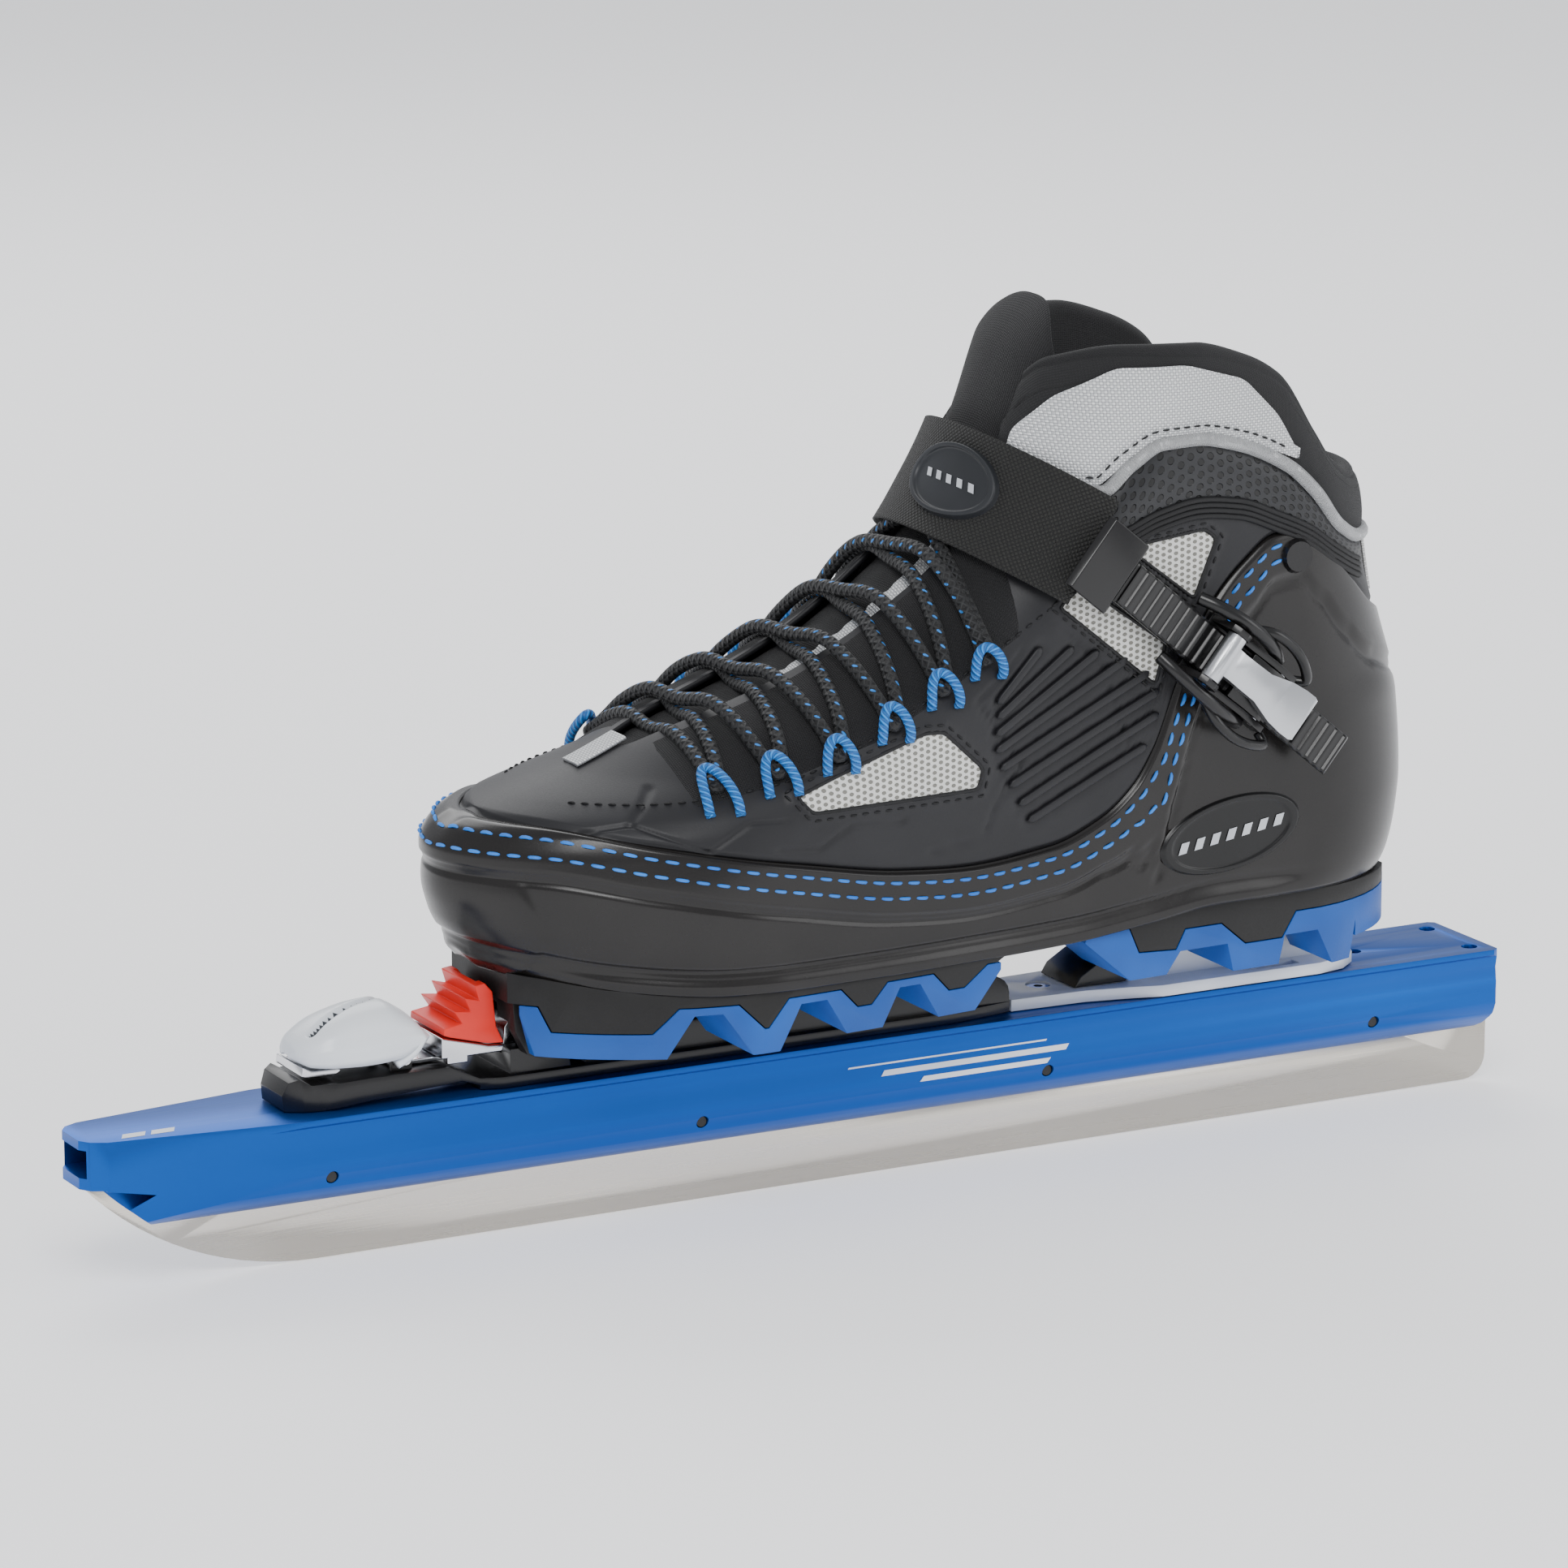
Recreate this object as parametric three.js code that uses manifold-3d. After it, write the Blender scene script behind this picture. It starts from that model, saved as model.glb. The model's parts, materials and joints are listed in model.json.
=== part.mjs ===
// Left long-blade speed skate: a lasted boot, a step-in toe binding, a heel plate and a blade frame.
// Millimetres. +X points to the heel, -Y to the outer side of the foot, +Z up.
// The origin is on the ice line, in the middle of the blade.

import * as THREE from 'three';
import { mergeVertices } from 'three/addons/utils/BufferGeometryUtils.js';
import Module from 'manifold-3d';

const wasm = await Module();
wasm.setup();

// ---------- driving sizes ----------

const gap = 0.3;

const rail = {
  front: -215, rear: 215, top: 43.5, bottom: 18.2, flangeHalf: 17.5, wall: 2.5,
  taperStart: -155, tipHalf: 10.5, heelCorner: 6.6,
};
const runner = {
  thickness: 1.2, top: 30, rear: rail.rear + 7, rearCorner: 7,
  flatHalf: 30, rockerRadius: 22000, bendStart: -146, bendRadius: 90, showing: 3,
};
const bladePin = { radius: 1.5, z: 27, half: 15.4, xs: [-148, -39, 68, 174] };
const flangeHole = { radius: 2.35, spots: [[209, 11], [209, -11], [177, 0]] };

const base = { front: -157.5, rear: 58.5, half: 14, thickness: 3, ridgeHalf: 11, ridgeTop: 54.3,
  trayHalf: 12 };
const baseScrew = { headRadius: 3.4, shankRadius: 1.5, length: 9, xs: [-62, -16, 30] };
const heelPlate = { front: 59.2, rear: 172, half: 17.2, neckHalf: 11, thickness: 3.2, ridgeHalf: 8,
  ridgeTop: 54 };
const heelScrew = { headRadius: 3.4, shankRadius: 1.5, length: 9, xs: [74, 165] };

const toeBar = { x: -87, z: 56, radius: 2, half: 16.4 };
const leverPin = { x: -124, z: 54.5, radius: 1.5, half: 11 };
const lever = { half: 12, slotHalf: 8.5 };
const hook = { half: 6, travel: 7, bottom: 51.5, thickness: 1.2, lip: 4, rise: 4.6 };
const flexor = { front: -113, rear: -95.2, half: 10.5, bottom: 58.4 };

const boot = { wall: 3, floor: 3, tongueWall: 3.6, collarWall: 6 };
const sole = { half: 2, channelHalf: 19, keelHalf: 10.4, slab: 67.7 };
const insole = { board: 1.5, foam: 3.5, clearance: 0.6 };
const lace = { radius: 1.8, stand: 2.6, clearance: 0.8, cross: 4.1 };
const strap = { thickness: 2.4, half: 15.5 };
const ladder = { half: 6.2, thickness: 2, front: -60, rear: 40, plane: -45.2, toothPitch: 2.5,
  toothRise: 0.7 };
const buckle = {
  x: 109.8, z: 139.6, half: ladder.half + 2.8, plate: 1.8, cheek: 1.8,
  pinU: -12, pinRadius: 1.2, pinRise: 4.2, barrel: 2.8, pawlU: 9, pawlPinRadius: 0.9, pawlRise: 3.6,
};
const clip = { front: -64, rear: -48, height: 2, half: ladder.half + 4.8 };
const rivet = { x: 131, z: 170, radius: 5, crown: 4.2, height: 1.8, stand: 0.8 };
const loop = { radius: 1.3, half: 4.6, foot: 1.4, rise: 6.4 };

// ---------- materials ----------

const paint = (color, roughness, metalness) => (
  new THREE.MeshStandardMaterial({ color, roughness, metalness }));
const looks = {
  anodised: paint(0x1b6fbe, 0.35, 0.9),
  steel: paint(0xb9b4ae, 0.25, 1),
  blackPlastic: paint(0x2a292b, 0.45, 0),
  whitePlastic: paint(0xe4e8ee, 0.4, 0),
  redRubber: paint(0xe6281e, 0.6, 0),
  blueRubber: paint(0x3a7cc4, 0.6, 0),
  blackRubber: paint(0x38342f, 0.7, 0),
  shell: paint(0x3a3838, 0.35, 0),
  upper: paint(0x46474a, 0.7, 0),
  lining: paint(0x1c1c1e, 0.9, 0),
  silverFabric: paint(0xc9cbce, 0.6, 0.2),
  webbing: paint(0x26261f, 0.9, 0),
  whiteFabric: paint(0xe6e6e6, 0.8, 0),
  laceCord: paint(0x151618, 0.9, 0),
  loopCord: paint(0x1e82dc, 0.7, 0),
};

// ---------- general helpers ----------

const skate = new THREE.Group();

function add(name, solid, look) {
  const mesh = new THREE.Mesh(solid.isBufferGeometry ? solid : toGeometry(solid), look);
  mesh.name = name;
  skate.add(mesh);
}

function toSolid(geometry) {
  const plain = geometry.index ? geometry.toNonIndexed() : geometry.clone();
  plain.deleteAttribute('normal');
  plain.deleteAttribute('uv');
  const merged = mergeVertices(plain, 1e-4);
  return new wasm.Manifold(new wasm.Mesh({
    numProp: 3,
    vertProperties: new Float32Array(merged.attributes.position.array),
    triVerts: new Uint32Array(merged.index.array),
  }));
}

function toGeometry(solid) {
  const mesh = solid.getMesh();
  const geometry = new THREE.BufferGeometry();
  geometry.setAttribute('position', new THREE.BufferAttribute(mesh.vertProperties, 3));
  geometry.setIndex(new THREE.BufferAttribute(mesh.triVerts, 1));
  geometry.computeVertexNormals();
  return geometry;
}

const cut = (solid, ...tools) => tools.reduce((rest, tool) => rest.subtract(tool), solid);
const join = (solid, ...others) => others.reduce((sum, other) => sum.add(other), solid);

function shapeOf(points) {
  return new THREE.Shape(points.map(([a, b]) => new THREE.Vector2(a, b)));
}

// An outline in plan, pulled up from z0 to z1.
function pulledUp(points, z0, z1) {
  const geometry = new THREE.ExtrudeGeometry(shapeOf(points), { depth: z1 - z0, bevelEnabled: false });
  return toSolid(geometry.translate(0, 0, z0));
}

// A side outline of [x, z] points, pulled across from y0 to y1.
function pulledAcross(points, y0, y1) {
  const geometry = new THREE.ExtrudeGeometry(shapeOf(points), { depth: y1 - y0, bevelEnabled: false });
  return toSolid(geometry.rotateX(Math.PI / 2).translate(0, y1, 0));
}

// A cross-section of [y, z] points, pulled along X from x0 to x1.
function pulledAlong(points, x0, x1) {
  const geometry = new THREE.ExtrudeGeometry(shapeOf(points), { depth: x1 - x0, bevelEnabled: false });
  const turn = new THREE.Matrix4().makeBasis(
    new THREE.Vector3(0, 1, 0), new THREE.Vector3(0, 0, 1), new THREE.Vector3(1, 0, 0));
  return toSolid(geometry.applyMatrix4(turn).translate(x0, 0, 0));
}

function rodAcross(radius, half, x, z, sides = 16) {
  return toSolid(new THREE.CylinderGeometry(radius, radius, 2 * half, sides).translate(x, 0, z));
}

function rodUp(radius, z0, z1, x, y, sides = 16) {
  const geometry = new THREE.CylinderGeometry(radius, radius, z1 - z0, sides).rotateX(Math.PI / 2);
  return toSolid(geometry.translate(x, y, (z0 + z1) / 2));
}

function arc(cx, cz, radius, from, to, steps) {
  return Array.from({ length: steps + 1 }, (_, i) => {
    const angle = THREE.MathUtils.degToRad(from + ((to - from) * i) / steps);
    return [cx + radius * Math.cos(angle), cz + radius * Math.sin(angle)];
  });
}

const mirrored = (half) => [...half, ...half.map(([a, b]) => [-a, b]).reverse()];

// Moves every side of a closed outline outwards by `distance`; the outline runs anticlockwise.
function grown(points, distance) {
  const count = points.length;
  const side = (i) => {
    const [a, b] = [points[i % count], points[(i + 1) % count]];
    const length = Math.hypot(b[0] - a[0], b[1] - a[1]);
    return [(b[1] - a[1]) / length, (a[0] - b[0]) / length];
  };
  return points.map((point, i) => {
    const before = side(i + count - 1);
    const after = side(i);
    const share = distance / (1 + before[0] * after[0] + before[1] * after[1]);
    return [point[0] + share * (before[0] + after[0]), point[1] + share * (before[1] + after[1])];
  });
}

// A smooth curve through [position, value] pairs that never overshoots them.
function smoothThrough(pairs) {
  const slopes = pairs.map((pair, i) => {
    if (i === 0 || i === pairs.length - 1) {
      const [a, b] = i === 0 ? [pairs[0], pairs[1]] : [pairs[i - 1], pair];
      return (b[1] - a[1]) / (b[0] - a[0]);
    }
    const left = (pair[1] - pairs[i - 1][1]) / (pair[0] - pairs[i - 1][0]);
    const right = (pairs[i + 1][1] - pair[1]) / (pairs[i + 1][0] - pair[0]);
    return left * right <= 0 ? 0 : (2 * left * right) / (left + right);
  });
  return (at) => {
    const last = pairs.length - 2;
    let i = 0;
    while (i < last && at > pairs[i + 1][0]) i += 1;
    const width = pairs[i + 1][0] - pairs[i][0];
    const t = Math.min(Math.max((at - pairs[i][0]) / width, 0), 1);
    const t2 = t * t;
    const t3 = t2 * t;
    return pairs[i][1] * (2 * t3 - 3 * t2 + 1) + slopes[i] * width * (t3 - 2 * t2 + t)
      + pairs[i + 1][1] * (3 * t2 - 2 * t3) + slopes[i + 1] * width * (t3 - t2);
  };
}

// ---------- the boot's outer form ----------

// Where the toe, the instep ridge and the front of the shaft lie, by height.
const frontLine = smoothThrough([
  [60, -92], [76, -99], [82, -104], [90, -108.5], [100, -110.8], [108, -111], [113, -108], [117, -100],
  [120, -91], [126, -70.5], [136, -46], [144, -24], [150, -10], [157, 3], [166, 16], [175, 27.5],
  [191, 39.5], [207, 48], [225, 55], [237, 61], [250, 66],
]);
// Where the back of the heel and of the shaft lie, by height.
const rearLine = smoothThrough([
  [60, 166], [66, 172], [72, 178], [79, 182], [90, 184.5], [100, 185.5], [123, 184], [135, 180],
  [144, 177], [164, 171], [185, 168], [250, 167],
]);
// Half the boot's breadth on each side, at the sole and at the ankle, by distance from the toe.
const lowOuter = smoothThrough([[-111, 40], [-80, 46], [-45, 49], [0, 46.5], [50, 41.5], [100, 38],
  [150, 36], [186, 34]]);
const lowInner = smoothThrough([[-111, 44], [-80, 48], [-45, 47], [0, 43], [50, 38.5], [100, 37],
  [150, 36], [186, 34]]);
const highOuter = smoothThrough([[-111, 42], [-45, 46], [0, 44.5], [50, 42], [100, 40.5], [140, 38],
  [170, 34], [186, 32]]);
const highInner = smoothThrough([[-111, 44], [-45, 45], [0, 43], [50, 41], [100, 40.5], [140, 38],
  [170, 34], [186, 32]]);
const noseLength = smoothThrough([[60, 62], [80, 70], [100, 76], [114, 84], [126, 78], [144, 64],
  [157, 54], [175, 46], [191, 44], [250, 44]]);
const nosePower = smoothThrough([[60, 0.5], [112, 0.5], [126, 0.6], [165, 0.62], [190, 0.52], [250, 0.5]]);
const heelLength = smoothThrough([[60, 44], [90, 42], [150, 40], [200, 38], [250, 38]]);
const soleEdge = smoothThrough([
  [-120, 81], [-98, 77], [-75, 73], [-46, 70.7], [0, 69.8], [40, 69.6], [61, 70], [85, 72],
  [110, 74.6], [155, 74], [190, 73],
]);
const slices = [
  64, 69, 74, 82, 90, 99, 105, 109, 112, 115, 118, 121, 124, 127, 131, 136, 141, 146, 152, 158, 165, 173,
  182, 192, 203, 215, 226, 236, 246,
];

// The profile line moved into the boot by `inset` (outwards when negative).
function movedLine(line, z, inset, into) {
  if (inset === 0) return line(z);
  const reach = Math.abs(inset);
  let best = into * (inset > 0 ? -Infinity : Infinity);
  for (let k = -8; k <= 8; k += 1) {
    const near = (k / 8) * reach;
    const found = line(z + near) + into * Math.sign(inset) * Math.sqrt(reach * reach - near * near);
    best = into * Math.sign(inset) > 0 ? Math.max(best, found) : Math.min(best, found);
  }
  return best;
}

function halfBreadth(x, z, side, inset, front, rear) {
  const rise = THREE.MathUtils.smoothstep(z, 88, 152);
  const low = side < 0 ? lowOuter(x) : lowInner(x);
  const high = side < 0 ? highOuter(x) : highInner(x);
  const tuck = 1 - 0.05 * Math.max(0, (84 - z) / 14) ** 2;
  const full = (low * (1 - rise) + high * rise) * tuck - inset;
  const nose = Math.min(Math.max((x - front) / noseLength(z), 0), 1);
  const back = Math.min(Math.max((rear - x) / heelLength(z), 0), 1);
  return full * (1 - (1 - nose) ** 2) ** nosePower(z) * Math.sqrt(1 - (1 - back) ** 2);
}

// Half breadth of the boot's outer face at one place.
function faceAt(x, z, side, inset = 0) {
  const front = movedLine(frontLine, z, inset, 1);
  const rear = movedLine(rearLine, z, inset, -1);
  return halfBreadth(x, z, side, inset, front, rear);
}

// The whole boot form as one closed solid: level slices from toe to heel, lofted upwards.
function bootForm(inset, steps = 18) {
  const ring = 2 * steps;
  const positions = [];
  for (const z of slices) {
    const front = movedLine(frontLine, z, inset, 1);
    const rear = movedLine(rearLine, z, inset, -1);
    for (let i = 0; i < ring; i += 1) {
      const side = i <= steps ? -1 : 1;
      const t = i <= steps ? i / steps : (ring - i) / steps;
      const x = front + ((rear - front) * (1 - Math.cos(Math.PI * t))) / 2;
      positions.push(x, side * halfBreadth(x, z, side, inset, front, rear), z);
    }
  }
  const faces = [];
  const quad = (a, b, c, d) => faces.push(a, b, c, a, c, d);
  for (let s = 0; s < slices.length - 1; s += 1) {
    for (let i = 0; i < ring; i += 1) {
      const next = (i + 1) % ring;
      quad(s * ring + i, s * ring + next, (s + 1) * ring + next, (s + 1) * ring + i);
    }
  }
  const top = (slices.length - 1) * ring;
  for (let i = 0; i < steps; i += 1) {
    const [near, nearNext] = [i, i + 1];
    const [far, farNext] = [(ring - i) % ring, (ring - i - 1) % ring];
    if (i > 0) faces.push(near, far, nearNext);
    if (i < steps - 1) faces.push(nearNext, far, farNext);
    if (i > 0) faces.push(top + near, top + nearNext, top + far);
    if (i < steps - 1) faces.push(top + nearNext, top + farNext, top + far);
  }
  const geometry = new THREE.BufferGeometry();
  geometry.setAttribute('position', new THREE.Float32BufferAttribute(positions, 3));
  geometry.setIndex(faces);
  return toSolid(geometry);
}

// Side outlines of the boot's panels.
const stitchLine = [
  [-108, 117], [-91, 116.5], [-65, 111.8], [-27, 104.2], [5, 98.2], [30, 96.2], [54, 98], [70, 103.5],
  [80, 111], [87, 122], [92.5, 137], [98, 150], [105, 161], [114, 170], [124, 176.5], [133, 177.5],
  [141, 173], [152, 163], [164, 152.5], [177, 145.5],
];
const collarSeam = [[30, 196], [69, 192.5], [78, 199.5], [87, 204.6], [97, 205], [110, 202.5], [127, 195],
  [137, 186.5], [147, 175.5], [158, 170], [180, 168]];
const rimLine = [[50, 204], [53, 214], [62, 225.5], [77, 229], [99, 228], [115, 223.5], [126, 217.5],
  [138, 201.5], [147, 191.5], [158, 186.5], [180, 185]];
const runOut = 200;

// The line of [x, z] points, run out level past both ends.
function runOn(line) {
  const [first, last] = [line[0], line[line.length - 1]];
  return [[first[0] - runOut, first[1]], ...line, [last[0] + runOut, last[1]]];
}

const closedTo = (line, z) => [...runOn(line), [line[line.length - 1][0] + runOut, z],
  [line[0][0] - runOut, z]];
const below = (line, floor) => closedTo(line, floor).reverse();
const above = (line, ceiling) => closedTo(line, ceiling);
const lifted = (line, rise) => line.map(([x, z]) => [x, z + rise]);
const across = (outline) => pulledAcross(outline, -70, 70);

const soleLine = Array.from({ length: 25 }, (_, i) => [-116 + 13 * i, soleEdge(-116 + 13 * i)]);
const outer = bootForm(0);
const inner = bootForm(boot.wall);
const aboveSole = across(above(soleLine, 260));
const aboveFloor = across(above(lifted(soleLine, boot.floor), 260));

function addBoot() {
  const shellZone = across(below(stitchLine, 55));
  const upperZone = across(above(lifted(stitchLine, gap), 260));
  const underCollar = across(below(lifted(collarSeam, -gap), 55));
  const collarZone = across(above(collarSeam, 260)).intersect(across(below(rimLine, 55)));
  const throat = pulledUp([[-56, -7], [-30, -11], [10, -14], [30, -16], [90, -17], [90, 17], [30, 16],
    [10, 14], [-30, 11], [-56, 7]], 100, 260);
  const shaftFront = across([[20, 150], [66, 150], [74, 190], [84, 260], [20, 260]]);
  const lining = bootForm(boot.collarWall);

  add('lower_shell', cut(outer.intersect(aboveSole).intersect(shellZone), inner.intersect(aboveFloor)),
    looks.shell);
  const upper = cut(outer, inner).intersect(upperZone).intersect(underCollar);
  add('upper', cut(upper, throat.intersect(across([[-70, 100], [-70, 260], [90, 260], [66, 190], [50, 150],
    [10, 118], [-50, 104]]))), looks.upper);
  add('collar', cut(cut(outer, lining).intersect(collarZone), throat.intersect(shaftFront)),
    looks.silverFabric);

  const tongueZone = across([
    [-64, 106], [-64, 150], [0, 185], [35, 246], [60, 246], [75, 237.5], [92, 235], [84, 212],
    [74, 190], [58, 168], [36, 149], [6, 132], [-30, 118], [-50, 108],
  ]);
  const tongueWidth = pulledUp([[-64, -18], [10, -24], [60, -31], [92, -34], [92, 34], [60, 31], [10, 24],
    [-64, 18]], 90, 260);
  const underUpper = bootForm(boot.wall + gap);
  const tongueBack = bootForm(boot.wall + gap + boot.tongueWall);
  const collarRoom = cut(bootForm(-1), bootForm(boot.collarWall + gap))
    .intersect(across(above(lifted(collarSeam, -gap), 260)));
  const flap = cut(underUpper, tongueBack).intersect(tongueZone).intersect(tongueWidth);
  const insideCollar = cut(bootForm(boot.collarWall + gap),
    bootForm(boot.collarWall + gap + boot.tongueWall));
  const raised = insideCollar.intersect(tongueZone).intersect(tongueWidth).intersect(across(above([[0,
    186], [120, 186]], 260)));
  add('tongue', join(cut(flap, collarRoom), raised), looks.lining);

  const inside = bootForm(boot.wall + insole.clearance).intersect(across([[-130, 60], [200, 60],
    [200, 110], [-130, 110]]));
  const layer = (from, to) => across([...lifted(soleLine, boot.floor + from),
    ...lifted([...soleLine].reverse(), boot.floor + to)]);
  add('midsole_board', inside.intersect(layer(gap, gap + insole.board)), looks.whitePlastic);
  add('insole', inside.intersect(layer(2 * gap + insole.board, 2 * gap + insole.board + insole.foam)),
    looks.lining);

  const tabZone = pulledUp([[150, -6.5], [200, -6.5], [200, 6.5], [150, 6.5]], 149, 184);
  add('heel_tab', cut(bootForm(-1.7), bootForm(-gap)).intersect(tabZone), looks.whiteFabric);
}

// ---------- sole ----------

const frontLugs = [
  { top: [-95, -55.5], foot: [-92, -62.5], z: 54 },
  { top: [-48, -25], foot: [-39.5, -31.5], z: 53.4 },
  { top: [-17, 6], foot: [-10.8, 0.5], z: 55.3 },
  { top: [12.5, 39], foot: [18.5, 30.5], z: 55.4 },
];
const heelLugs = [
  { top: [68, 98], foot: [81.5, 93.5], z: 56 },
  { top: [113.5, 132.5], foot: [115.5, 130.5], z: 54 },
  { top: [143.5, 158.5], foot: [149, 156], z: 51.6 },
];

// Bottom line of a row of lugs, from front to rear, hanging below `z`.
const lugLine = (lugs, z) => lugs.flatMap((lug) => [[lug.top[0], z], [lug.foot[0], lug.z],
  [lug.foot[1], lug.z], [lug.top[1], z]]);

function addSole() {
  const plan = Array.from({ length: 41 }, (_, i) => {
    const t = (1 - Math.cos((Math.PI * i) / 40)) / 2;
    return -104 + (178 + 104) * t;
  });
  const edge = (side) => plan.map((x) => [x, side * Math.max(faceAt(x, 84, side, sole.half), 0.4)]);
  const print = pulledUp([...edge(-1), ...edge(1).reverse()], 40, 90);
  const outerSide = pulledUp([[-120, -60], [200, -60], [200, -sole.channelHalf],
    [-120, -sole.channelHalf]], 40, 90);
  const innerSide = pulledUp([[-120, sole.channelHalf], [200, sole.channelHalf], [200, 60], [-120, 60]],
    40, 90);
  const sides = join(outerSide, innerSide);
  const underShell = soleLine.filter(([x]) => x > -100 && x < 175).map(([x, z]) => [x, z - gap]);
  const topOver = (from, to) => underShell.filter(([x]) => x > from && x < to);

  const frontTop = topOver(-97, 40);
  const slab = across([[-97, sole.slab], [38, sole.slab], [41, frontTop[frontTop.length - 1][1]],
    ...[...frontTop].reverse(), [-97, 76]]);
  const tooth = (lug) => [[lug.foot[0] + 3.5, lug.z + 7], [lug.foot[1] - 3.5, lug.z + 7],
    [lug.top[1] - 3, sole.slab + 1], [lug.top[0] + 3.5, sole.slab + 1]];
  const frontTeeth = frontLugs.map((lug) => across(tooth(lug)).intersect(sides));
  const keel = pulledAcross([[-58, base.ridgeTop + gap], [34, base.ridgeTop + gap], [38, sole.slab + 1],
    [-62, sole.slab + 1]], -sole.keelHalf, sole.keelHalf);
  const toeBlock = pulledAcross([
    [-96, 71], [-95, 60], [-91.5, 53], [-86, 50.8], [-80, 51.5], [-74, 60], [-69, 69.5]], -17, 17);
  const jawRoom = pulledAcross([[-100, 40], [-70, 40], [-76, 61.6], [-97, 61.6]], -12.4, 12.4);
  const barHole = rodAcross(toeBar.radius + gap, toeBar.half + gap, toeBar.x, toeBar.z);
  const hookReach = Math.hypot(hook.travel + hook.lip, hook.rise) + 3 * gap;
  const hookSweep = pulledAcross([[toeBar.x, toeBar.z], ...arc(toeBar.x, toeBar.z, hookReach, 84, 190, 11)],
    -hook.half - 2 * gap, hook.half + 2 * gap);
  const front = join(slab, keel, ...frontTeeth).intersect(print);
  add('outsole_front', cut(join(front, cut(toeBlock, jawRoom)), barHole, hookSweep), looks.blackRubber);
  add('toe_bar', rodAcross(toeBar.radius, toeBar.half, toeBar.x, toeBar.z), looks.steel);

  const blackRoom = across(grown([[-99, sole.slab], [41, sole.slab], [41, 90], [-99, 90]], gap));
  const toothRoom = frontLugs.map((lug) => across(grown(tooth(lug), gap)));
  const blockRoom = pulledAcross([[-110, 40], [-68, 40], [-68, 90], [-110, 90]], -17.3, 17.3);
  const layer = across([...lugLine(frontLugs, 65.4), [39, 80], [-95, 80]]).intersect(print);
  const clean = cut(layer, blackRoom, ...toothRoom, blockRoom);
  add('lug_layer_front_outer', clean.intersect(outerSide), looks.blueRubber);
  add('lug_layer_front_inner', clean.intersect(innerSide), looks.blueRubber);

  const heelTop = topOver(80, 172);
  const heelBlack = [
    [81, soleEdge(81) - gap], [84.5, 63.6], [96.5, 62.8], [99.5, 68.2], [111.5, 68.2], [119.5, 61.5],
    [131.5, 61.5], [136, 68.5],
    [176, 68.5], [176, heelTop[heelTop.length - 1][1]], ...[...heelTop].reverse()];
  const heelKeel = pulledAcross([[101, heelPlate.ridgeTop + gap], [146, heelPlate.ridgeTop + gap],
    [148, 70], [99, 70]], -9.5, 9.5);
  const heelGroove = pulledUp([[60, -11], [150, -11], [158, -8], [158, 8], [150, 11], [60, 11]], 40, 66.5);
  const heelBody = cut(across(heelBlack).intersect(print), heelGroove);
  add('outsole_heel', join(heelBody, heelKeel.intersect(print)), looks.blackRubber);
  const heelBlue = [...lugLine(heelLugs, 62), [158.5, 57.5], [180, 57.5], [180, 70], [84, 70],
    [78, soleEdge(78) - gap], [67, soleEdge(67) - gap]];
  heelBlue[0] = [66.5, 68.6];
  const blueRoom = across(grown([...heelBlack.slice(0, 9), [176, 90], [81, 90]], gap));
  const heelGap = pulledUp([[60, -11], [150, -11], [159, -8], [159, 8], [150, 11], [60, 11]], 40, 90);
  add('lug_layer_heel', cut(across(heelBlue).intersect(print), blueRoom, heelGap), looks.blueRubber);
}

// ---------- blade frame ----------

const runnerBottom = (x) => Math.max(0, Math.abs(x) - runner.flatHalf) ** 2 / (2 * runner.rockerRadius);

function railSection() {
  const slot = runner.thickness / 2 + gap;
  const half = [
    [slot, runner.top + gap], [slot, rail.bottom], [3.2, rail.bottom], [9.6, 19.4], [11.5, 20.6], [14.8, 24],
    [16.5, 28], [16.7, 31.5], [16.1, 34.5], [15.7, 38], [16.3, 41.2], [rail.flangeHalf, 42],
    [rail.flangeHalf, rail.top],
  ];
  return mirrored(half);
}

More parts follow.
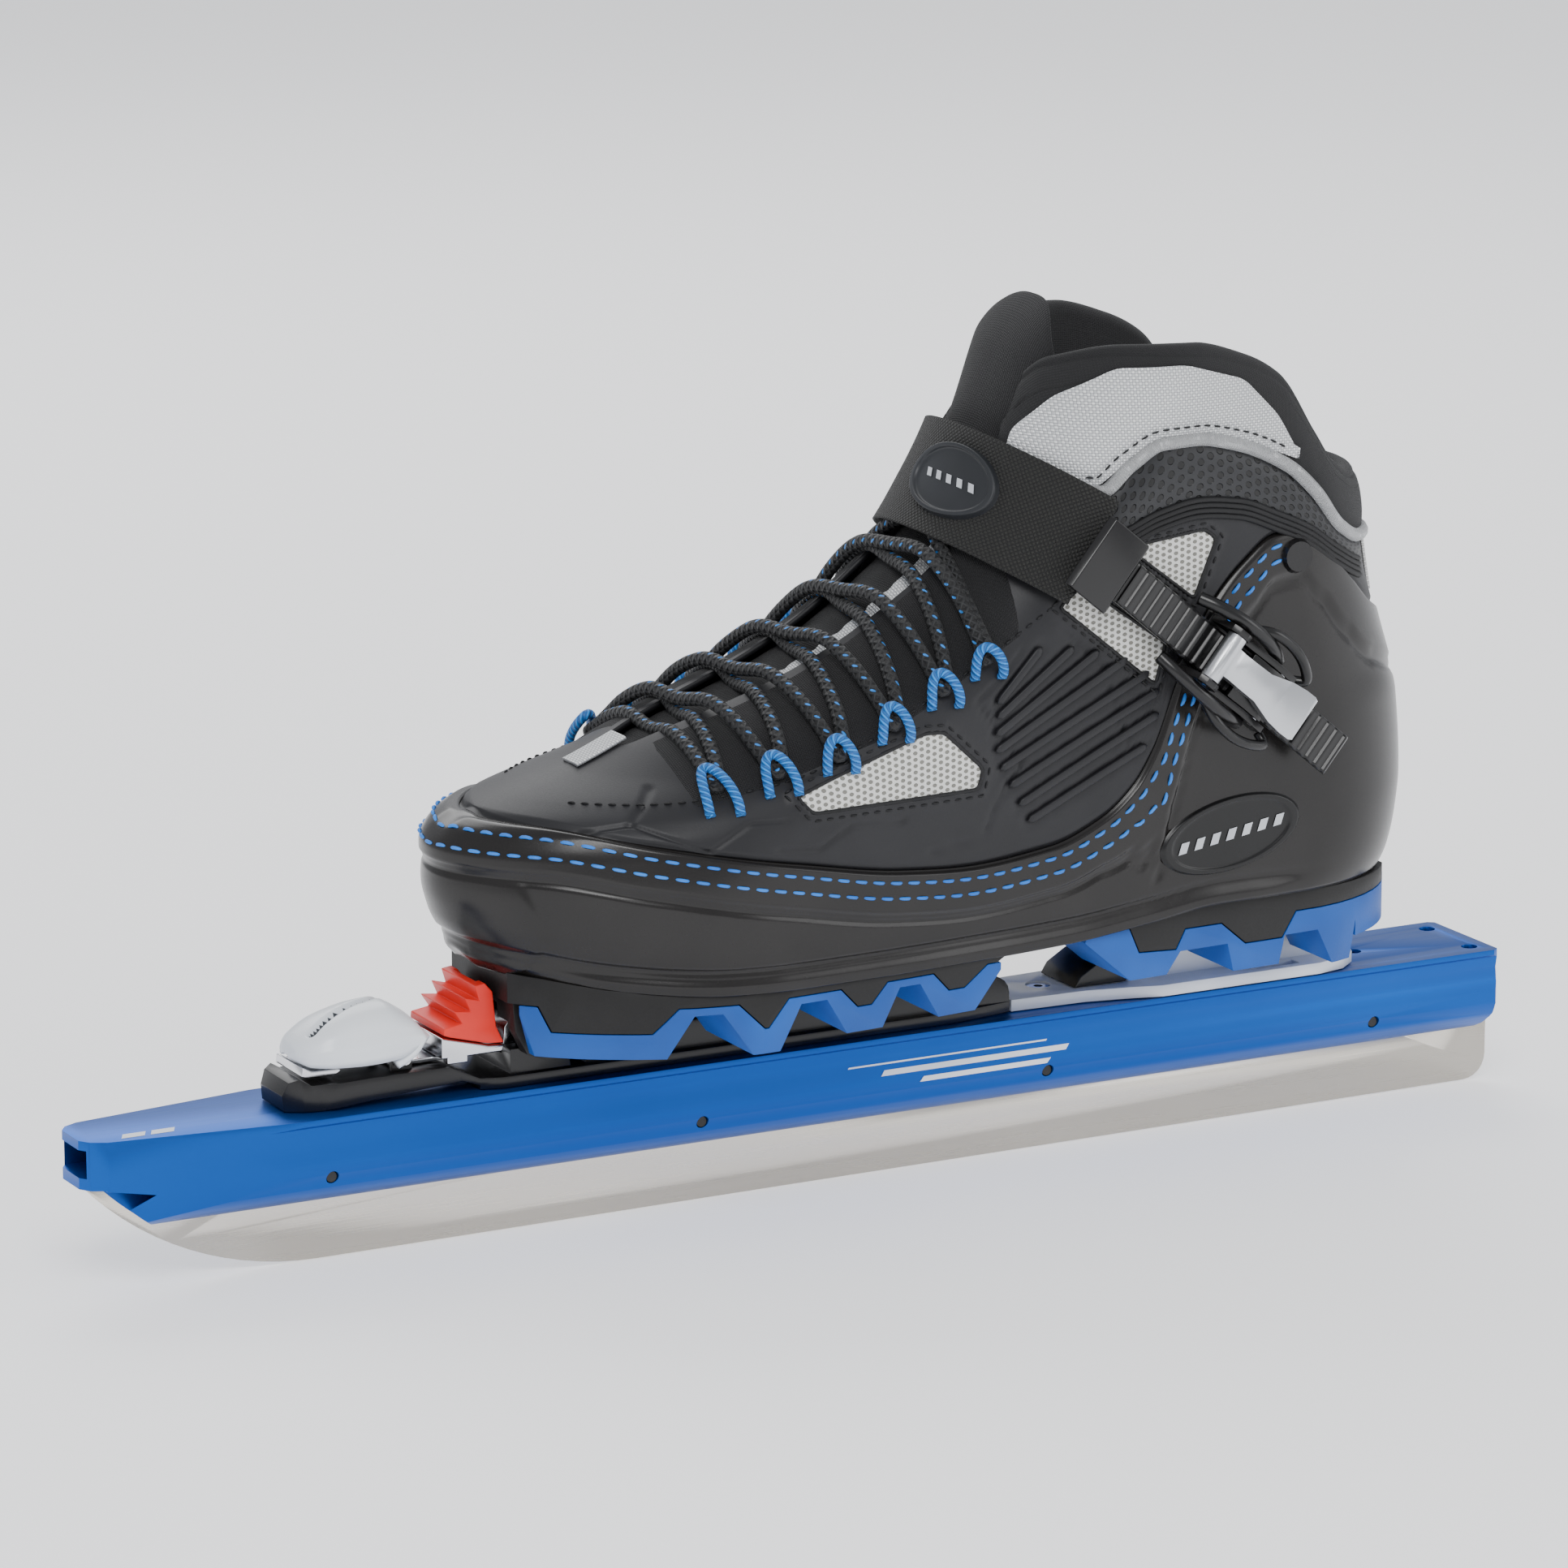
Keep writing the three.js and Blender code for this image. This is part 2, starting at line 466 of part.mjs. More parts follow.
function addFrame() {
  const solid = pulledAlong(railSection(), rail.front, rail.rear);
  const plan = mirrored([
    [rail.front, rail.tipHalf - 5], [rail.front + 2, rail.tipHalf - 2], [rail.front + 6, rail.tipHalf],
    [rail.taperStart, rail.flangeHalf + 0.2], [rail.rear - 2, rail.flangeHalf + 0.2],
    [rail.rear + 1, rail.flangeHalf - 2],
  ].map(([x, y]) => [y, x])).map(([y, x]) => [x, y]);
  const keep = pulledUp(plan, 0, 60);
  const chamberHalf = rail.flangeHalf - 4;
  const chamber = pulledUp([
    [rail.front - 1, -rail.tipHalf + 3.2], [rail.front + 10, -rail.tipHalf + 2.2],
    [rail.taperStart, -chamberHalf],
    [rail.rear + 1, -chamberHalf], [rail.rear + 1, chamberHalf], [rail.taperStart, chamberHalf],
    [rail.front + 10, rail.tipHalf - 2.2], [rail.front - 1, rail.tipHalf - 3.2]], 33.5,
    rail.top - rail.wall);
  const lowerCell = [[3.2, 30], [10.6, 30], [12.2, 28], [11.2, 24.5], [8.2, 22], [3.2, 20.6]];
  const cells = [pulledAlong(lowerCell, rail.front - 1, rail.rear + 1),
    pulledAlong(lowerCell.map(([y, z]) => [-y, z]).reverse(), rail.front - 1, rail.rear + 1)];
  const bendTop = runner.top + 0.4;
  const reach = runner.bendRadius - runner.showing;
  const noseFrom = -90 - THREE.MathUtils.radToDeg(Math.acos((runner.bendRadius - rail.bottom + 2) / reach));
  const noseTo = -90 - THREE.MathUtils.radToDeg(Math.acos((runner.bendRadius - bendTop) / reach));
  const nose = [[rail.front - 10, 0], [rail.front + 30, 0],
    ...arc(runner.bendStart, runner.bendRadius, reach, noseFrom, noseTo, 7), [rail.front - 10, bendTop]];
  const corner = rail.heelCorner;
  const heel = [[rail.rear - corner, 0], [rail.rear + 10, 0], [rail.rear + 10, rail.bottom + corner],
    ...arc(rail.rear - corner, rail.bottom + corner, corner, 0, -90, 5)];
  const holes = [
    ...bladePin.xs.map((x) => rodAcross(bladePin.radius + gap, 30, x, bladePin.z)),
    ...flangeHole.spots.map(([x, y]) => rodUp(flangeHole.radius, 40, 50, x, y)),
    ...[...baseScrew.xs, ...heelScrew.xs].map((x) => rodUp(baseScrew.shankRadius + gap, 40, 50, x, 0, 12)),
  ];
  add('frame_rail', cut(solid.intersect(keep), chamber, ...cells, across(nose), across(heel), ...holes),
    looks.anodised);

  const bend = runner.bendRadius;
  const startRise = runnerBottom(runner.bendStart);
  const sweep = THREE.MathUtils.radToDeg(Math.acos((bend + startRise - runner.top) / bend));
  const bottom = [-100, -60, -runner.flatHalf, runner.flatHalf, 80, 130, 175,
    runner.rear - runner.rearCorner];
  const blade = [
    ...arc(runner.bendStart, bend + startRise, bend, -90 - sweep, -90, 14),
    ...bottom.map((x) => [x, runnerBottom(x)]),
    ...arc(runner.rear - runner.rearCorner, runnerBottom(runner.rear) + runner.rearCorner,
      runner.rearCorner, -75, 0, 5),
    [runner.rear, 23], [runner.rear - 4, runner.top - 3], [rail.rear - 1, runner.top],
  ];
  const half = runner.thickness / 2;
  const pinHoles = bladePin.xs.map((x) => rodAcross(bladePin.radius + gap, 30, x, bladePin.z));
  add('steel_runner', cut(pulledAcross(blade, -half, half), ...pinHoles), looks.steel);
  bladePin.xs.forEach((x, i) => add(`blade_pin_${i + 1}`,
    rodAcross(bladePin.radius, bladePin.half, x, bladePin.z, 12), looks.blackPlastic));
}

// ---------- binding ----------

function screw(size, x, z) {
  const head = [[0, 0], [size.headRadius, 0], [size.headRadius, -0.8], [size.shankRadius, -2.6],
    [size.shankRadius, -size.length], [0, -size.length]];
  const profile = head.map(([r, h]) => new THREE.Vector2(r, h)).reverse();
  const geometry = new THREE.LatheGeometry(profile, 16).rotateX(Math.PI / 2).translate(x, 0, z);
  const socket = toSolid(new THREE.CylinderGeometry(1.4, 1.4, 3, 6).rotateX(Math.PI / 2).translate(x, 0, z));
  return cut(toSolid(geometry), socket);
}

// The hole that a screw sits in, open above its head.
function screwRoom(size, x, z) {
  const [head, shank] = [size.headRadius + gap, size.shankRadius + gap];
  const profile = [[0, -20], [shank, -20], [shank, -2.6 - gap], [head, -0.8 - gap], [head, 20], [0, 20]];
  const geometry = new THREE.LatheGeometry(profile.map(([r, h]) => new THREE.Vector2(r, h)), 16);
  return toSolid(geometry.rotateX(Math.PI / 2).translate(x, 0, z));
}

function addBinding() {
  const post = { in: lever.slotHalf - 1.8, out: lever.slotHalf - 0.4 };
  const foot = rail.top + gap;
  const floor = foot + base.thickness;
  const screwTop = floor + 2;
  const tray = pulledAcross([
    [base.front, foot], [-148, foot], [-135, foot + 1.2], [-108, foot + 3], [-100, foot], [-94, foot],
    [-94, floor],
    [-103, floor], [-112, 51.1], [-134, 51.1], [-151, 50.8], [-154, 52.6], [-156.5, 51.6],
    [base.front - 0.5, 48]],
    -base.trayHalf, base.trayHalf);
  const trayPlan = pulledUp([[base.front - 2, -6], [-153, -10], [-144, -base.trayHalf],
    [-90, -base.trayHalf],
    [-90, base.trayHalf], [-144, base.trayHalf], [-153, 10], [base.front - 2, 6]], 40, 60);
  const slab = pulledUp([[-103, -base.trayHalf], [-97, -base.half], [40, -base.half],
    [base.rear, -base.ridgeHalf],
    [base.rear, base.ridgeHalf], [40, base.half], [-97, base.half], [-103, base.trayHalf]], foot, floor);
  const ridgeSide = [[-72, floor - 1], [base.rear, floor - 1],
    ...arc(base.rear - 5, base.ridgeTop - 5, 5, 0, 90, 4), [-60, base.ridgeTop], [-70, 51]];
  const ridge = pulledAcross(ridgeSide, -base.ridgeHalf, base.ridgeHalf);
  const cradle = pulledAcross([[-94, floor - 1], [-76, floor - 1], [-78.5, 57.5], [-83.4, 58.2],
    [-84, 53.5], [-94, 53.5]], -11.8, 11.8);
  const hookRoom = pulledAcross([[-130, hook.bottom - gap], [-89, hook.bottom - gap], [-89, 70],
    [-130, 70]], -hook.half - gap, hook.half + gap);
  const barRoom = rodAcross(toeBar.radius + gap, 30, toeBar.x, toeBar.z);
  const posts = [-1, 1].map((side) => pulledAcross([[leverPin.x - 3, 50], [leverPin.x + 3, 50],
    ...arc(leverPin.x, leverPin.z, 3, 0, 180, 6)], Math.min(post.in * side, post.out * side),
  Math.max(post.in * side, post.out * side)));
  const pinRoom = rodAcross(leverPin.radius + gap, 30, leverPin.x, leverPin.z);
  const wells = baseScrew.xs.map((x) => screwRoom(baseScrew, x, screwTop));
  add('binding_base', cut(join(tray.intersect(trayPlan), slab, ridge, cradle, ...posts), hookRoom, barRoom,
    pinRoom, ...wells), looks.blackPlastic);
  baseScrew.xs.forEach((x, i) => add(`base_screw_${i + 1}`, screw(baseScrew, x, screwTop), looks.steel));

  const hookSide = [
    [-126, hook.bottom], [-93.4, hook.bottom], [-91.6, hook.bottom], [-89.5, 53.6], [-89.5, 55.9],
    [-89.2, 58], [-87.2, 58.5], [-84.9, 58.6], [-85.5, toeBar.z + hook.rise],
    [toeBar.x - hook.lip, toeBar.z + hook.rise], [-93, 58], [-93.4, hook.bottom + hook.thickness],
    [-126, hook.bottom + hook.thickness]];
  add('bar_hook', cut(pulledAcross(hookSide, -hook.half, hook.half), barRoom), looks.steel);

  const hookPath = pulledAcross([[-101.4, 40], [-80, 40], [-80, 90], [-101.4, 90]], -hook.half - 2 * gap,
    hook.half + 2 * gap);
  const legSide = [[-112, 51.4], [-106, 51.4], [-106, 55], [-112, 55]];
  const legs = [pulledAcross(legSide, -11, -8), pulledAcross(legSide, 8, 11)];
  const cup = pulledAcross([[flexor.front - 0.6, 53.1], [flexor.rear - 0.8, 53.1], [flexor.rear, 54.9],
    [-100, 55.2], [-111, flexor.bottom - gap], [flexor.front - 0.6, flexor.bottom + 0.4]], -11, 11);
  add('flexor_cup', cut(join(cup, ...legs), hookPath), looks.steel);
  const leaves = [
    [-110.9, flexor.bottom + 0.2], [-112.8, flexor.bottom + 0.9], [-112.6, 61.2], [-107.4, 62],
    [-109.8, 65.6], [-104.9, 65], [-106.6, 68.9],
    [-102.4, 67.8], [-103.6, 71.8], [-100.6, 72.2], [-98.4, 69.6], [-97.4, 60], [flexor.rear, 55.3],
    [-99.9, 55.6]];
  add('flexor', cut(pulledAcross(leaves.reverse(), -flexor.half, flexor.half), hookPath), looks.redRubber);

  const leverSide = [
    [-153.7, 56.4], [-150, 54.4], [-140.5, 54.4], [-138, 52.2], [-128, 52.2], [-124, 51.5], [-121, 53.4],
    [-115.6, 58.5],
    [-115.1, 59.6], [-121.2, 66.6], [-127.8, 68.6], [-133, 68.4], [-142.3, 66.1], [-150, 62.2],
    [-153.6, 59]];
  const leverPlan = pulledUp([[-156, -6], [-152, -10], [-144, -lever.half], [-110, -lever.half],
    [-110, lever.half], [-144, lever.half], [-152, 10], [-156, 6]], 40, 80);
  const postRoom = pulledAcross([[-134.6, 40], [-119.5, 40], [-119.5, 59.8], [-134.6, 59.8]],
    -lever.slotHalf, lever.slotHalf);
  const forkRoom = pulledAcross([[-119.6, 40], [-100, 40], [-100, 80], [-119.6, 80]], -lever.slotHalf,
    lever.slotHalf);
  add('binding_lever', cut(pulledAcross(leverSide, -lever.half, lever.half).intersect(leverPlan), postRoom,
    forkRoom, pinRoom), looks.whitePlastic);
  add('lever_pin', rodAcross(leverPin.radius, leverPin.half, leverPin.x, leverPin.z, 12), looks.steel);
  add('lever_clip', pulledAcross([[-153, 52.9], [-151.5, 52.4], [-143, 52.4], [-141.6, 53.4],
    [-142.5, 54.1], [-150, 54.1], [-152.6, 55.4]], -8.5, 8.5), looks.steel);
}

function addHeelPlate() {
  const foot = rail.top + gap;
  const top = foot + heelPlate.thickness;
  const plan = mirrored([
    [heelPlate.front, heelPlate.neckHalf], [82, heelPlate.neckHalf + 1], [94, 14.5], [104, heelPlate.half],
    [155, heelPlate.half],
    [164, heelPlate.half - 2], [170, heelPlate.half - 7], [heelPlate.rear, heelPlate.half - 12],
  ].map(([x, y]) => [y, x])).map(([y, x]) => [x, y]);
  const ridge = pulledAcross([[97.5, top - 1], [158.5, top - 1], [155.5, heelPlate.ridgeTop],
    [100.5, heelPlate.ridgeTop]], -heelPlate.ridgeHalf, heelPlate.ridgeHalf);
  const slot = pulledUp([[136, -14.6], [150, -14.6], [150, -10.4], [136, -10.4]], 40, 60);
  const wells = heelScrew.xs.map((x) => screwRoom(heelScrew, x, top - 0.4));
  add('heel_plate', cut(join(pulledUp(plan, foot, top), ridge), slot, ...wells), looks.whitePlastic);
  heelScrew.xs.forEach((x, i) => add(`heel_plate_screw_${i + 1}`, screw(heelScrew, x, top - 0.4),
    looks.steel));
  const guide = [[80, top + gap], [96.8, top + gap], [96.8, heelPlate.ridgeTop], [88, heelPlate.ridgeTop],
    [82, 50.4]];
  add('guide_block', pulledAcross(guide, -9.5, 9.5), looks.blackPlastic);
}

// ---------- laces and loops ----------

const eyelets = [[-46, 124.5], [-29, 128], [-12, 132], [4.5, 138.5], [20, 146], [33.5, 152.5]];

// Height of the boot's outer face, moved out by `stand`, above one plan position.
function heightAt(x, y, stand) {
  let [low, high] = [100, 245];
  for (let k = 0; k < 22; k += 1) {
    const middle = (low + high) / 2;
    const outside = frontLine(middle) > x + stand + 1 || faceAt(x, middle, Math.sign(y) || 1,
      -stand) < Math.abs(y);
    if (outside) high = middle;
    else low = middle;
  }
  return low;
}

function eyeletPoint(index, side, lift) {
  const [x, z] = eyelets[index];
  return new THREE.Vector3(x, side * (faceAt(x, z, side) + lift), z + 0.6 * lift);
}

// One strand from an eyelet on one side to an eyelet on the other, lying over the ridge.
function strand(from, fromSide, to, toSide, over) {
  const count = 7;
  const start = eyeletPoint(from, fromSide, lace.stand);
  const end = eyeletPoint(to, toSide, lace.stand);
  return Array.from({ length: count }, (_, i) => {
    const t = (i + 0.35) / (count - 0.3);
    const point = start.clone().lerp(end, t);
    point.y = start.y * Math.cos(Math.PI * t) * (t < 0.5 ? 1 : -end.y / start.y);
    const resting = heightAt(point.x, point.y, lace.radius + lace.clearance);
    point.z = Math.max(resting, Math.min(start.z, end.z)) + over * Math.sin(Math.PI * t) ** 2;
    return point;
  });
}

function addLace() {
  const last = eyelets.length - 1;
  const points = [];
  let side = -1;
  for (let i = last; i > 0; i -= 1) {
    points.push(...strand(i, side, i - 1, -side, i % 2 ? lace.cross : 0));
    side = -side;
  }
  points.push(...strand(0, side, 0, -side, 0));
  side = -side;
  for (let i = 0; i < last; i += 1) {
    points.push(...strand(i, side, i + 1, -side, (i + 1) % 2 ? 0 : lace.cross));
    side = -side;
  }
  const path = new THREE.CatmullRomCurve3(points, false, 'centripetal');
  const round = shapeOf(arc(0, 0, lace.radius, 0, 315, 7));
  const geometry = new THREE.ExtrudeGeometry(round, { steps: 79, extrudePath: path, bevelEnabled: false });
  add('lace', geometry, looks.laceCord);
}

function addLoops() {
  for (const side of [-1, 1]) {
    eyelets.forEach((spot, i) => {
      const name = `lace_loop_${side < 0 ? 'outer' : 'inner'}_${i + 1}`;
      const anchor = eyeletPoint(i, side, 0);
      const away = new THREE.Vector3(0, side * 0.86, 0.51);
      const points = arc(0, 0, 1, 8, 172, 6).map(([a, b]) => anchor.clone()
        .add(new THREE.Vector3(loop.half * a, 0, 0)).addScaledVector(away, loop.foot + loop.rise * b));
      const path = new THREE.CatmullRomCurve3(points, false, 'centripetal');
      const geometry = new THREE.ExtrudeGeometry(shapeOf(arc(0, 0, loop.radius, 0, 300, 5)),
        { steps: 8, extrudePath: path, bevelEnabled: false });
      add(name, geometry, looks.loopCord);
    });
  }
}

// ---------- strap, ladder and buckle ----------

const along = new THREE.Vector3(0.772, 0, -0.636);
const crosswise = new THREE.Vector3(-0.636, 0, -0.772);
const outward = new THREE.Vector3(0, -1, 0);

// Places a solid drawn in the buckle's own axes: [along the ladder, away from the boot, across the ladder].
function onBuckle(solid) {
  const turn = new THREE.Matrix4().makeBasis(along, outward, crosswise);
  const placed = toGeometry(solid).applyMatrix4(turn).translate(buckle.x, 0, buckle.z);
  return toSolid(placed);
}

const slabOn = (points, v0, v1) => onBuckle(toSolid(new THREE.ExtrudeGeometry(shapeOf(points),
  { depth: v1 - v0, bevelEnabled: false }).translate(0, 0, v0)));
const rodOn = (radius, u, out, v0, v1) => onBuckle(toSolid(new THREE.CylinderGeometry(radius, radius,
  v1 - v0, 12)
  .rotateX(Math.PI / 2).translate(u, out, (v0 + v1) / 2)));

function addStrap() {
  const [dx, dz] = [0.85, -0.53];
  const corner = (reach, offset) => [25.2 + reach * dx - offset * dz, 202.5 + reach * dz + offset * dx];
  const band = across([corner(-8, -strap.half), corner(46, -strap.half), corner(46, strap.half),
    corner(-8, strap.half)]);
  const ring = cut(bootForm(-strap.thickness - 1, 24), bootForm(-1, 24));
  add('instep_strap', ring.intersect(band), looks.webbing);

  const face = -ladder.plane;
  const teeth = [];
  for (let u = -20; u <= 30; u += ladder.toothPitch) {
    teeth.push([u, face + ladder.thickness], [u + 0.6, face + ladder.thickness + ladder.toothRise]);
  }
  const side = [[ladder.front, face], [ladder.rear, face], [ladder.rear, face + ladder.thickness],
    ...teeth.reverse(), [ladder.front, face + ladder.thickness]];
  add('ladder_strap', slabOn(side, -ladder.half, ladder.half), looks.webbing);
  const clipFace = face + ladder.thickness + gap;
  add('strap_clip', slabOn([[clip.front, clipFace], [clip.rear, clipFace],
    [clip.rear - 1.5, clipFace + clip.height],
    [clip.front + 1.5, clipFace + clip.height]], -clip.half, clip.half), looks.blackPlastic);
}

function addBuckle() {
  const face = -ladder.plane;
  const plateTop = face - gap;
  const plateFoot = plateTop - buckle.plate;
  const ladderTop = face + ladder.thickness + ladder.toothRise;
  const axisHeight = ladderTop + buckle.pinRise;
  const pawlHeight = face + buckle.pawlRise;
  const ear = (v0, v1) => slabOn([[-18, plateFoot], [-8, plateFoot], [-8.5, axisHeight + 1],
    [-10.5, axisHeight + 2.4],
    [-13.5, axisHeight + 2.4], [-15.5, axisHeight + 1]], v0, v1);
  const wall = (v0, v1) => slabOn([[-9, plateFoot], [14, plateFoot], [13, face + 4.4], [4, face + 5.4],
    [-9, face + 3.2]], v0, v1);
  const plate = slabOn([[-18, plateFoot], [14, plateFoot], [14, plateTop], [-18, plateTop]], -buckle.half,
    buckle.half);
  const earIn = buckle.half - buckle.cheek;
  const pinHole = rodOn(buckle.pinRadius + gap, buckle.pinU, axisHeight, -30, 30);
  const pawlHole = rodOn(buckle.pawlPinRadius + gap, buckle.pawlU, pawlHeight, -30, 30);
  add('buckle_base', cut(join(plate, ear(-buckle.half, -earIn), ear(earIn, buckle.half),
    wall(-buckle.half, -earIn), wall(earIn, buckle.half)), pinHole, pawlHole), looks.blackPlastic);
  add('buckle_pin', rodOn(buckle.pinRadius, buckle.pinU, axisHeight, -buckle.half, buckle.half),
    looks.steel);
  add('pawl_pin', rodOn(buckle.pawlPinRadius, buckle.pawlU, pawlHeight, -buckle.half, buckle.half),
    looks.steel);

  const inHalf = earIn - gap;
  const barrel = arc(buckle.pinU, axisHeight, buckle.barrel, 60, 300, 7);
  const arm = [...barrel, [-4, axisHeight - 0.8], [8, axisHeight + 0.6], [18, axisHeight + 3.4],
    [17.6, axisHeight + 5.2], [8, axisHeight + 3.6], [-4, axisHeight + 2.4]];
  const planOutline = [[-16, -4.6], [-8, -4.2], [2, -4.4], [9, -6.4], [16, -7.2], [20, -5], [20, 5],
    [16, 7.2], [9, 6.4], [2, 4.4], [-8, 4.2], [-16, 4.6]];
  const planTool = onBuckle(toSolid(new THREE.ExtrudeGeometry(shapeOf(planOutline),
    { depth: 40, bevelEnabled: false })
    .rotateX(-Math.PI / 2).translate(0, face, 0)));
  const sleeve = slabOn(arc(buckle.pinU, axisHeight, buckle.barrel, 0, 345, 23), -inHalf, inHalf);
  add('buckle_lever', cut(join(slabOn(arm, -inHalf, inHalf).intersect(planTool), sleeve), pinHole),
    looks.steel);

  const pawl = [[-2.5, ladderTop + gap], [1, ladderTop + gap], [7, face + 3.1], [10.4, face + 3.1],
    [10.6, face + 4.6], [8, face + 5.2], [-2.5, ladderTop + 1.8]];
  add('buckle_pawl', cut(slabOn(pawl, -earIn + gap, earIn - gap), pawlHole), looks.blackPlastic);

  const disc = (side) => {
    const y = side * (faceAt(rivet.x, rivet.z, side) + rivet.stand + rivet.height / 2);
    return new THREE.CylinderGeometry(rivet.crown, rivet.radius, rivet.height, 20)
      .rotateX(side < 0 ? Math.PI : 2 * Math.PI).translate(rivet.x, y, rivet.z);
  };
  add('cuff_rivet_outer', disc(-1), looks.steel);
  add('cuff_rivet_inner', disc(1), looks.steel);
}

addFrame();
addBinding();
addHeelPlate();
addSole();
addBoot();
addLace();
addLoops();
addStrap();
addBuckle();

export default skate;
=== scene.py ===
"""Looks of a left long-blade speed skate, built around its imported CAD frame.

Metres; +X runs to the heel, -Y to the outer side and +Z up.
"""

import json

import bmesh
import bpy
import numpy as np
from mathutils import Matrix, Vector

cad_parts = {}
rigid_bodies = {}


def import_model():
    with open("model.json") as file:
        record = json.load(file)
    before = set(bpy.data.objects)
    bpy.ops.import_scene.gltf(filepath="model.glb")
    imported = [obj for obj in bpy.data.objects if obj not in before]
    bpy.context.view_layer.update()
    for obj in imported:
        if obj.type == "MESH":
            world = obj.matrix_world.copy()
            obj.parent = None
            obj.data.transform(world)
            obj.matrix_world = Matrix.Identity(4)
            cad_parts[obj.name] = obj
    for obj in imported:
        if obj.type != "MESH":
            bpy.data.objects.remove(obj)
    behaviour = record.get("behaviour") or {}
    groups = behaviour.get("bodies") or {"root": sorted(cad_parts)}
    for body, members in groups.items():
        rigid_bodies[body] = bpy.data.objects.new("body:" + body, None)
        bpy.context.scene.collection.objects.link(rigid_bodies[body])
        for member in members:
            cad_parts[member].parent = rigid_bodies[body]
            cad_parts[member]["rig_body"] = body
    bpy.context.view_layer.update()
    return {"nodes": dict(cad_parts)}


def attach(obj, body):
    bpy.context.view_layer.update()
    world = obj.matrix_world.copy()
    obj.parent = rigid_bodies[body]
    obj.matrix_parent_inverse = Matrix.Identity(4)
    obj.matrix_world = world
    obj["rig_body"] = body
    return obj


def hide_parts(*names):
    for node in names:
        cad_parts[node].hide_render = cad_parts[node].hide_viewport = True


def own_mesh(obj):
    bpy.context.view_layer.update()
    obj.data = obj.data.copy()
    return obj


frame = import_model()
MM = 0.001

# ---------- camera, light and floor ----------


def add_camera():
    """A long lens 1.95 m away, turned 28 degrees towards the toe and raised 13.7 degrees."""
    azimuth, elevation = np.radians(-28.0), np.radians(13.7)
    away = Vector((np.sin(azimuth) * np.cos(elevation), -np.cos(azimuth) * np.cos(elevation), np.sin(elevation)))
    data = bpy.data.cameras.new("camera")
    data.sensor_width = 36.0
    data.lens = 166.0
    data.clip_end = 20.0
    camera = bpy.data.objects.new("camera", data)
    camera.location = Vector((-5.7, 0.0, 113.2)) * MM + away * 1.95
    camera.rotation_euler = away.to_track_quat("Z", "Y").to_euler()
    bpy.context.scene.collection.objects.link(camera)
    bpy.context.scene.camera = camera


def add_light(name, place, size, power, colour=(1.0, 1.0, 1.0)):
    """A square soft box at `place`, facing the middle of the skate."""
    data = bpy.data.lights.new(name, "AREA")
    data.size = size
    data.energy = power
    data.color = colour
    lamp = bpy.data.objects.new(name, data)
    lamp.location = place
    lamp.rotation_euler = (Vector(place) - Vector((0.0, 0.0, 0.1))).to_track_quat("Z", "Y").to_euler()
    bpy.context.scene.collection.objects.link(lamp)


def add_studio():
    """Three soft boxes, a pale world and a pale floor at the ice line."""
    add_light("key_box", (-0.7, -1.3, 1.5), 0.9, 24.0)
    add_light("fill_box", (1.5, -1.1, 0.7), 1.0, 9.0)
    add_light("back_box", (0.3, 1.4, 1.3), 1.2, 14.0)
    world = bpy.data.worlds.new("studio")
    world.use_nodes = True
    world.node_tree.nodes["Background"].inputs["Color"].default_value = (0.93, 0.95, 1.0, 1.0)
    world.node_tree.nodes["Background"].inputs["Strength"].default_value = 0.7
    bpy.context.scene.world = world
    side = 4.0
    mesh = bpy.data.meshes.new("floor")
    mesh.from_pydata([(-side, -side, 0), (side, -side, 0), (side, side, 0), (-side, side, 0)], [], [(0, 1, 2, 3)])
    floor = bpy.data.objects.new("floor", mesh)
    bpy.context.scene.collection.objects.link(floor)
    mesh.materials.append(floor_paint())


# ---------- material helpers ----------


def srgb(code):
    """An sRGB hex colour as linear RGBA."""
    parts = np.array([int(code[i:i + 2], 16) / 255.0 for i in (1, 3, 5)])
    linear = np.where(parts <= 0.04045, parts / 12.92, ((parts + 0.055) / 1.055) ** 2.4)
    return (*linear.tolist(), 1.0)


def put(tree, kind, values=None, links=None, **settings):
    """Adds a node: its settings, the values of its sockets and the outputs that feed them."""
    made = tree.nodes.new("ShaderNode" + kind)
    for key, value in settings.items():
        setattr(made, key, value)
    for socket, value in (values or {}).items():
        made.inputs[socket].default_value = value
    for socket, source in (links or {}).items():
        tree.links.new(source, made.inputs[socket])
    return made


def finish(name, **constants):
    """A material with one principled shader; the constants go on the shader's own sockets."""
    material = bpy.data.materials.new(name)
    material.use_nodes = True
    tree = material.node_tree
    shader = tree.nodes["Principled BSDF"]
    for socket, value in constants.items():
        shader.inputs[socket.replace("_", " ")].default_value = value
    return material, tree, shader


def floor_paint():
    """Matt studio floor: near white."""
    material, _, _ = finish("matt_studio_floor", Base_Color=srgb("#f4f4f5"), Roughness=0.9,
                            Emission_Color=srgb("#ffffff"), Emission_Strength=0.5)
    return material


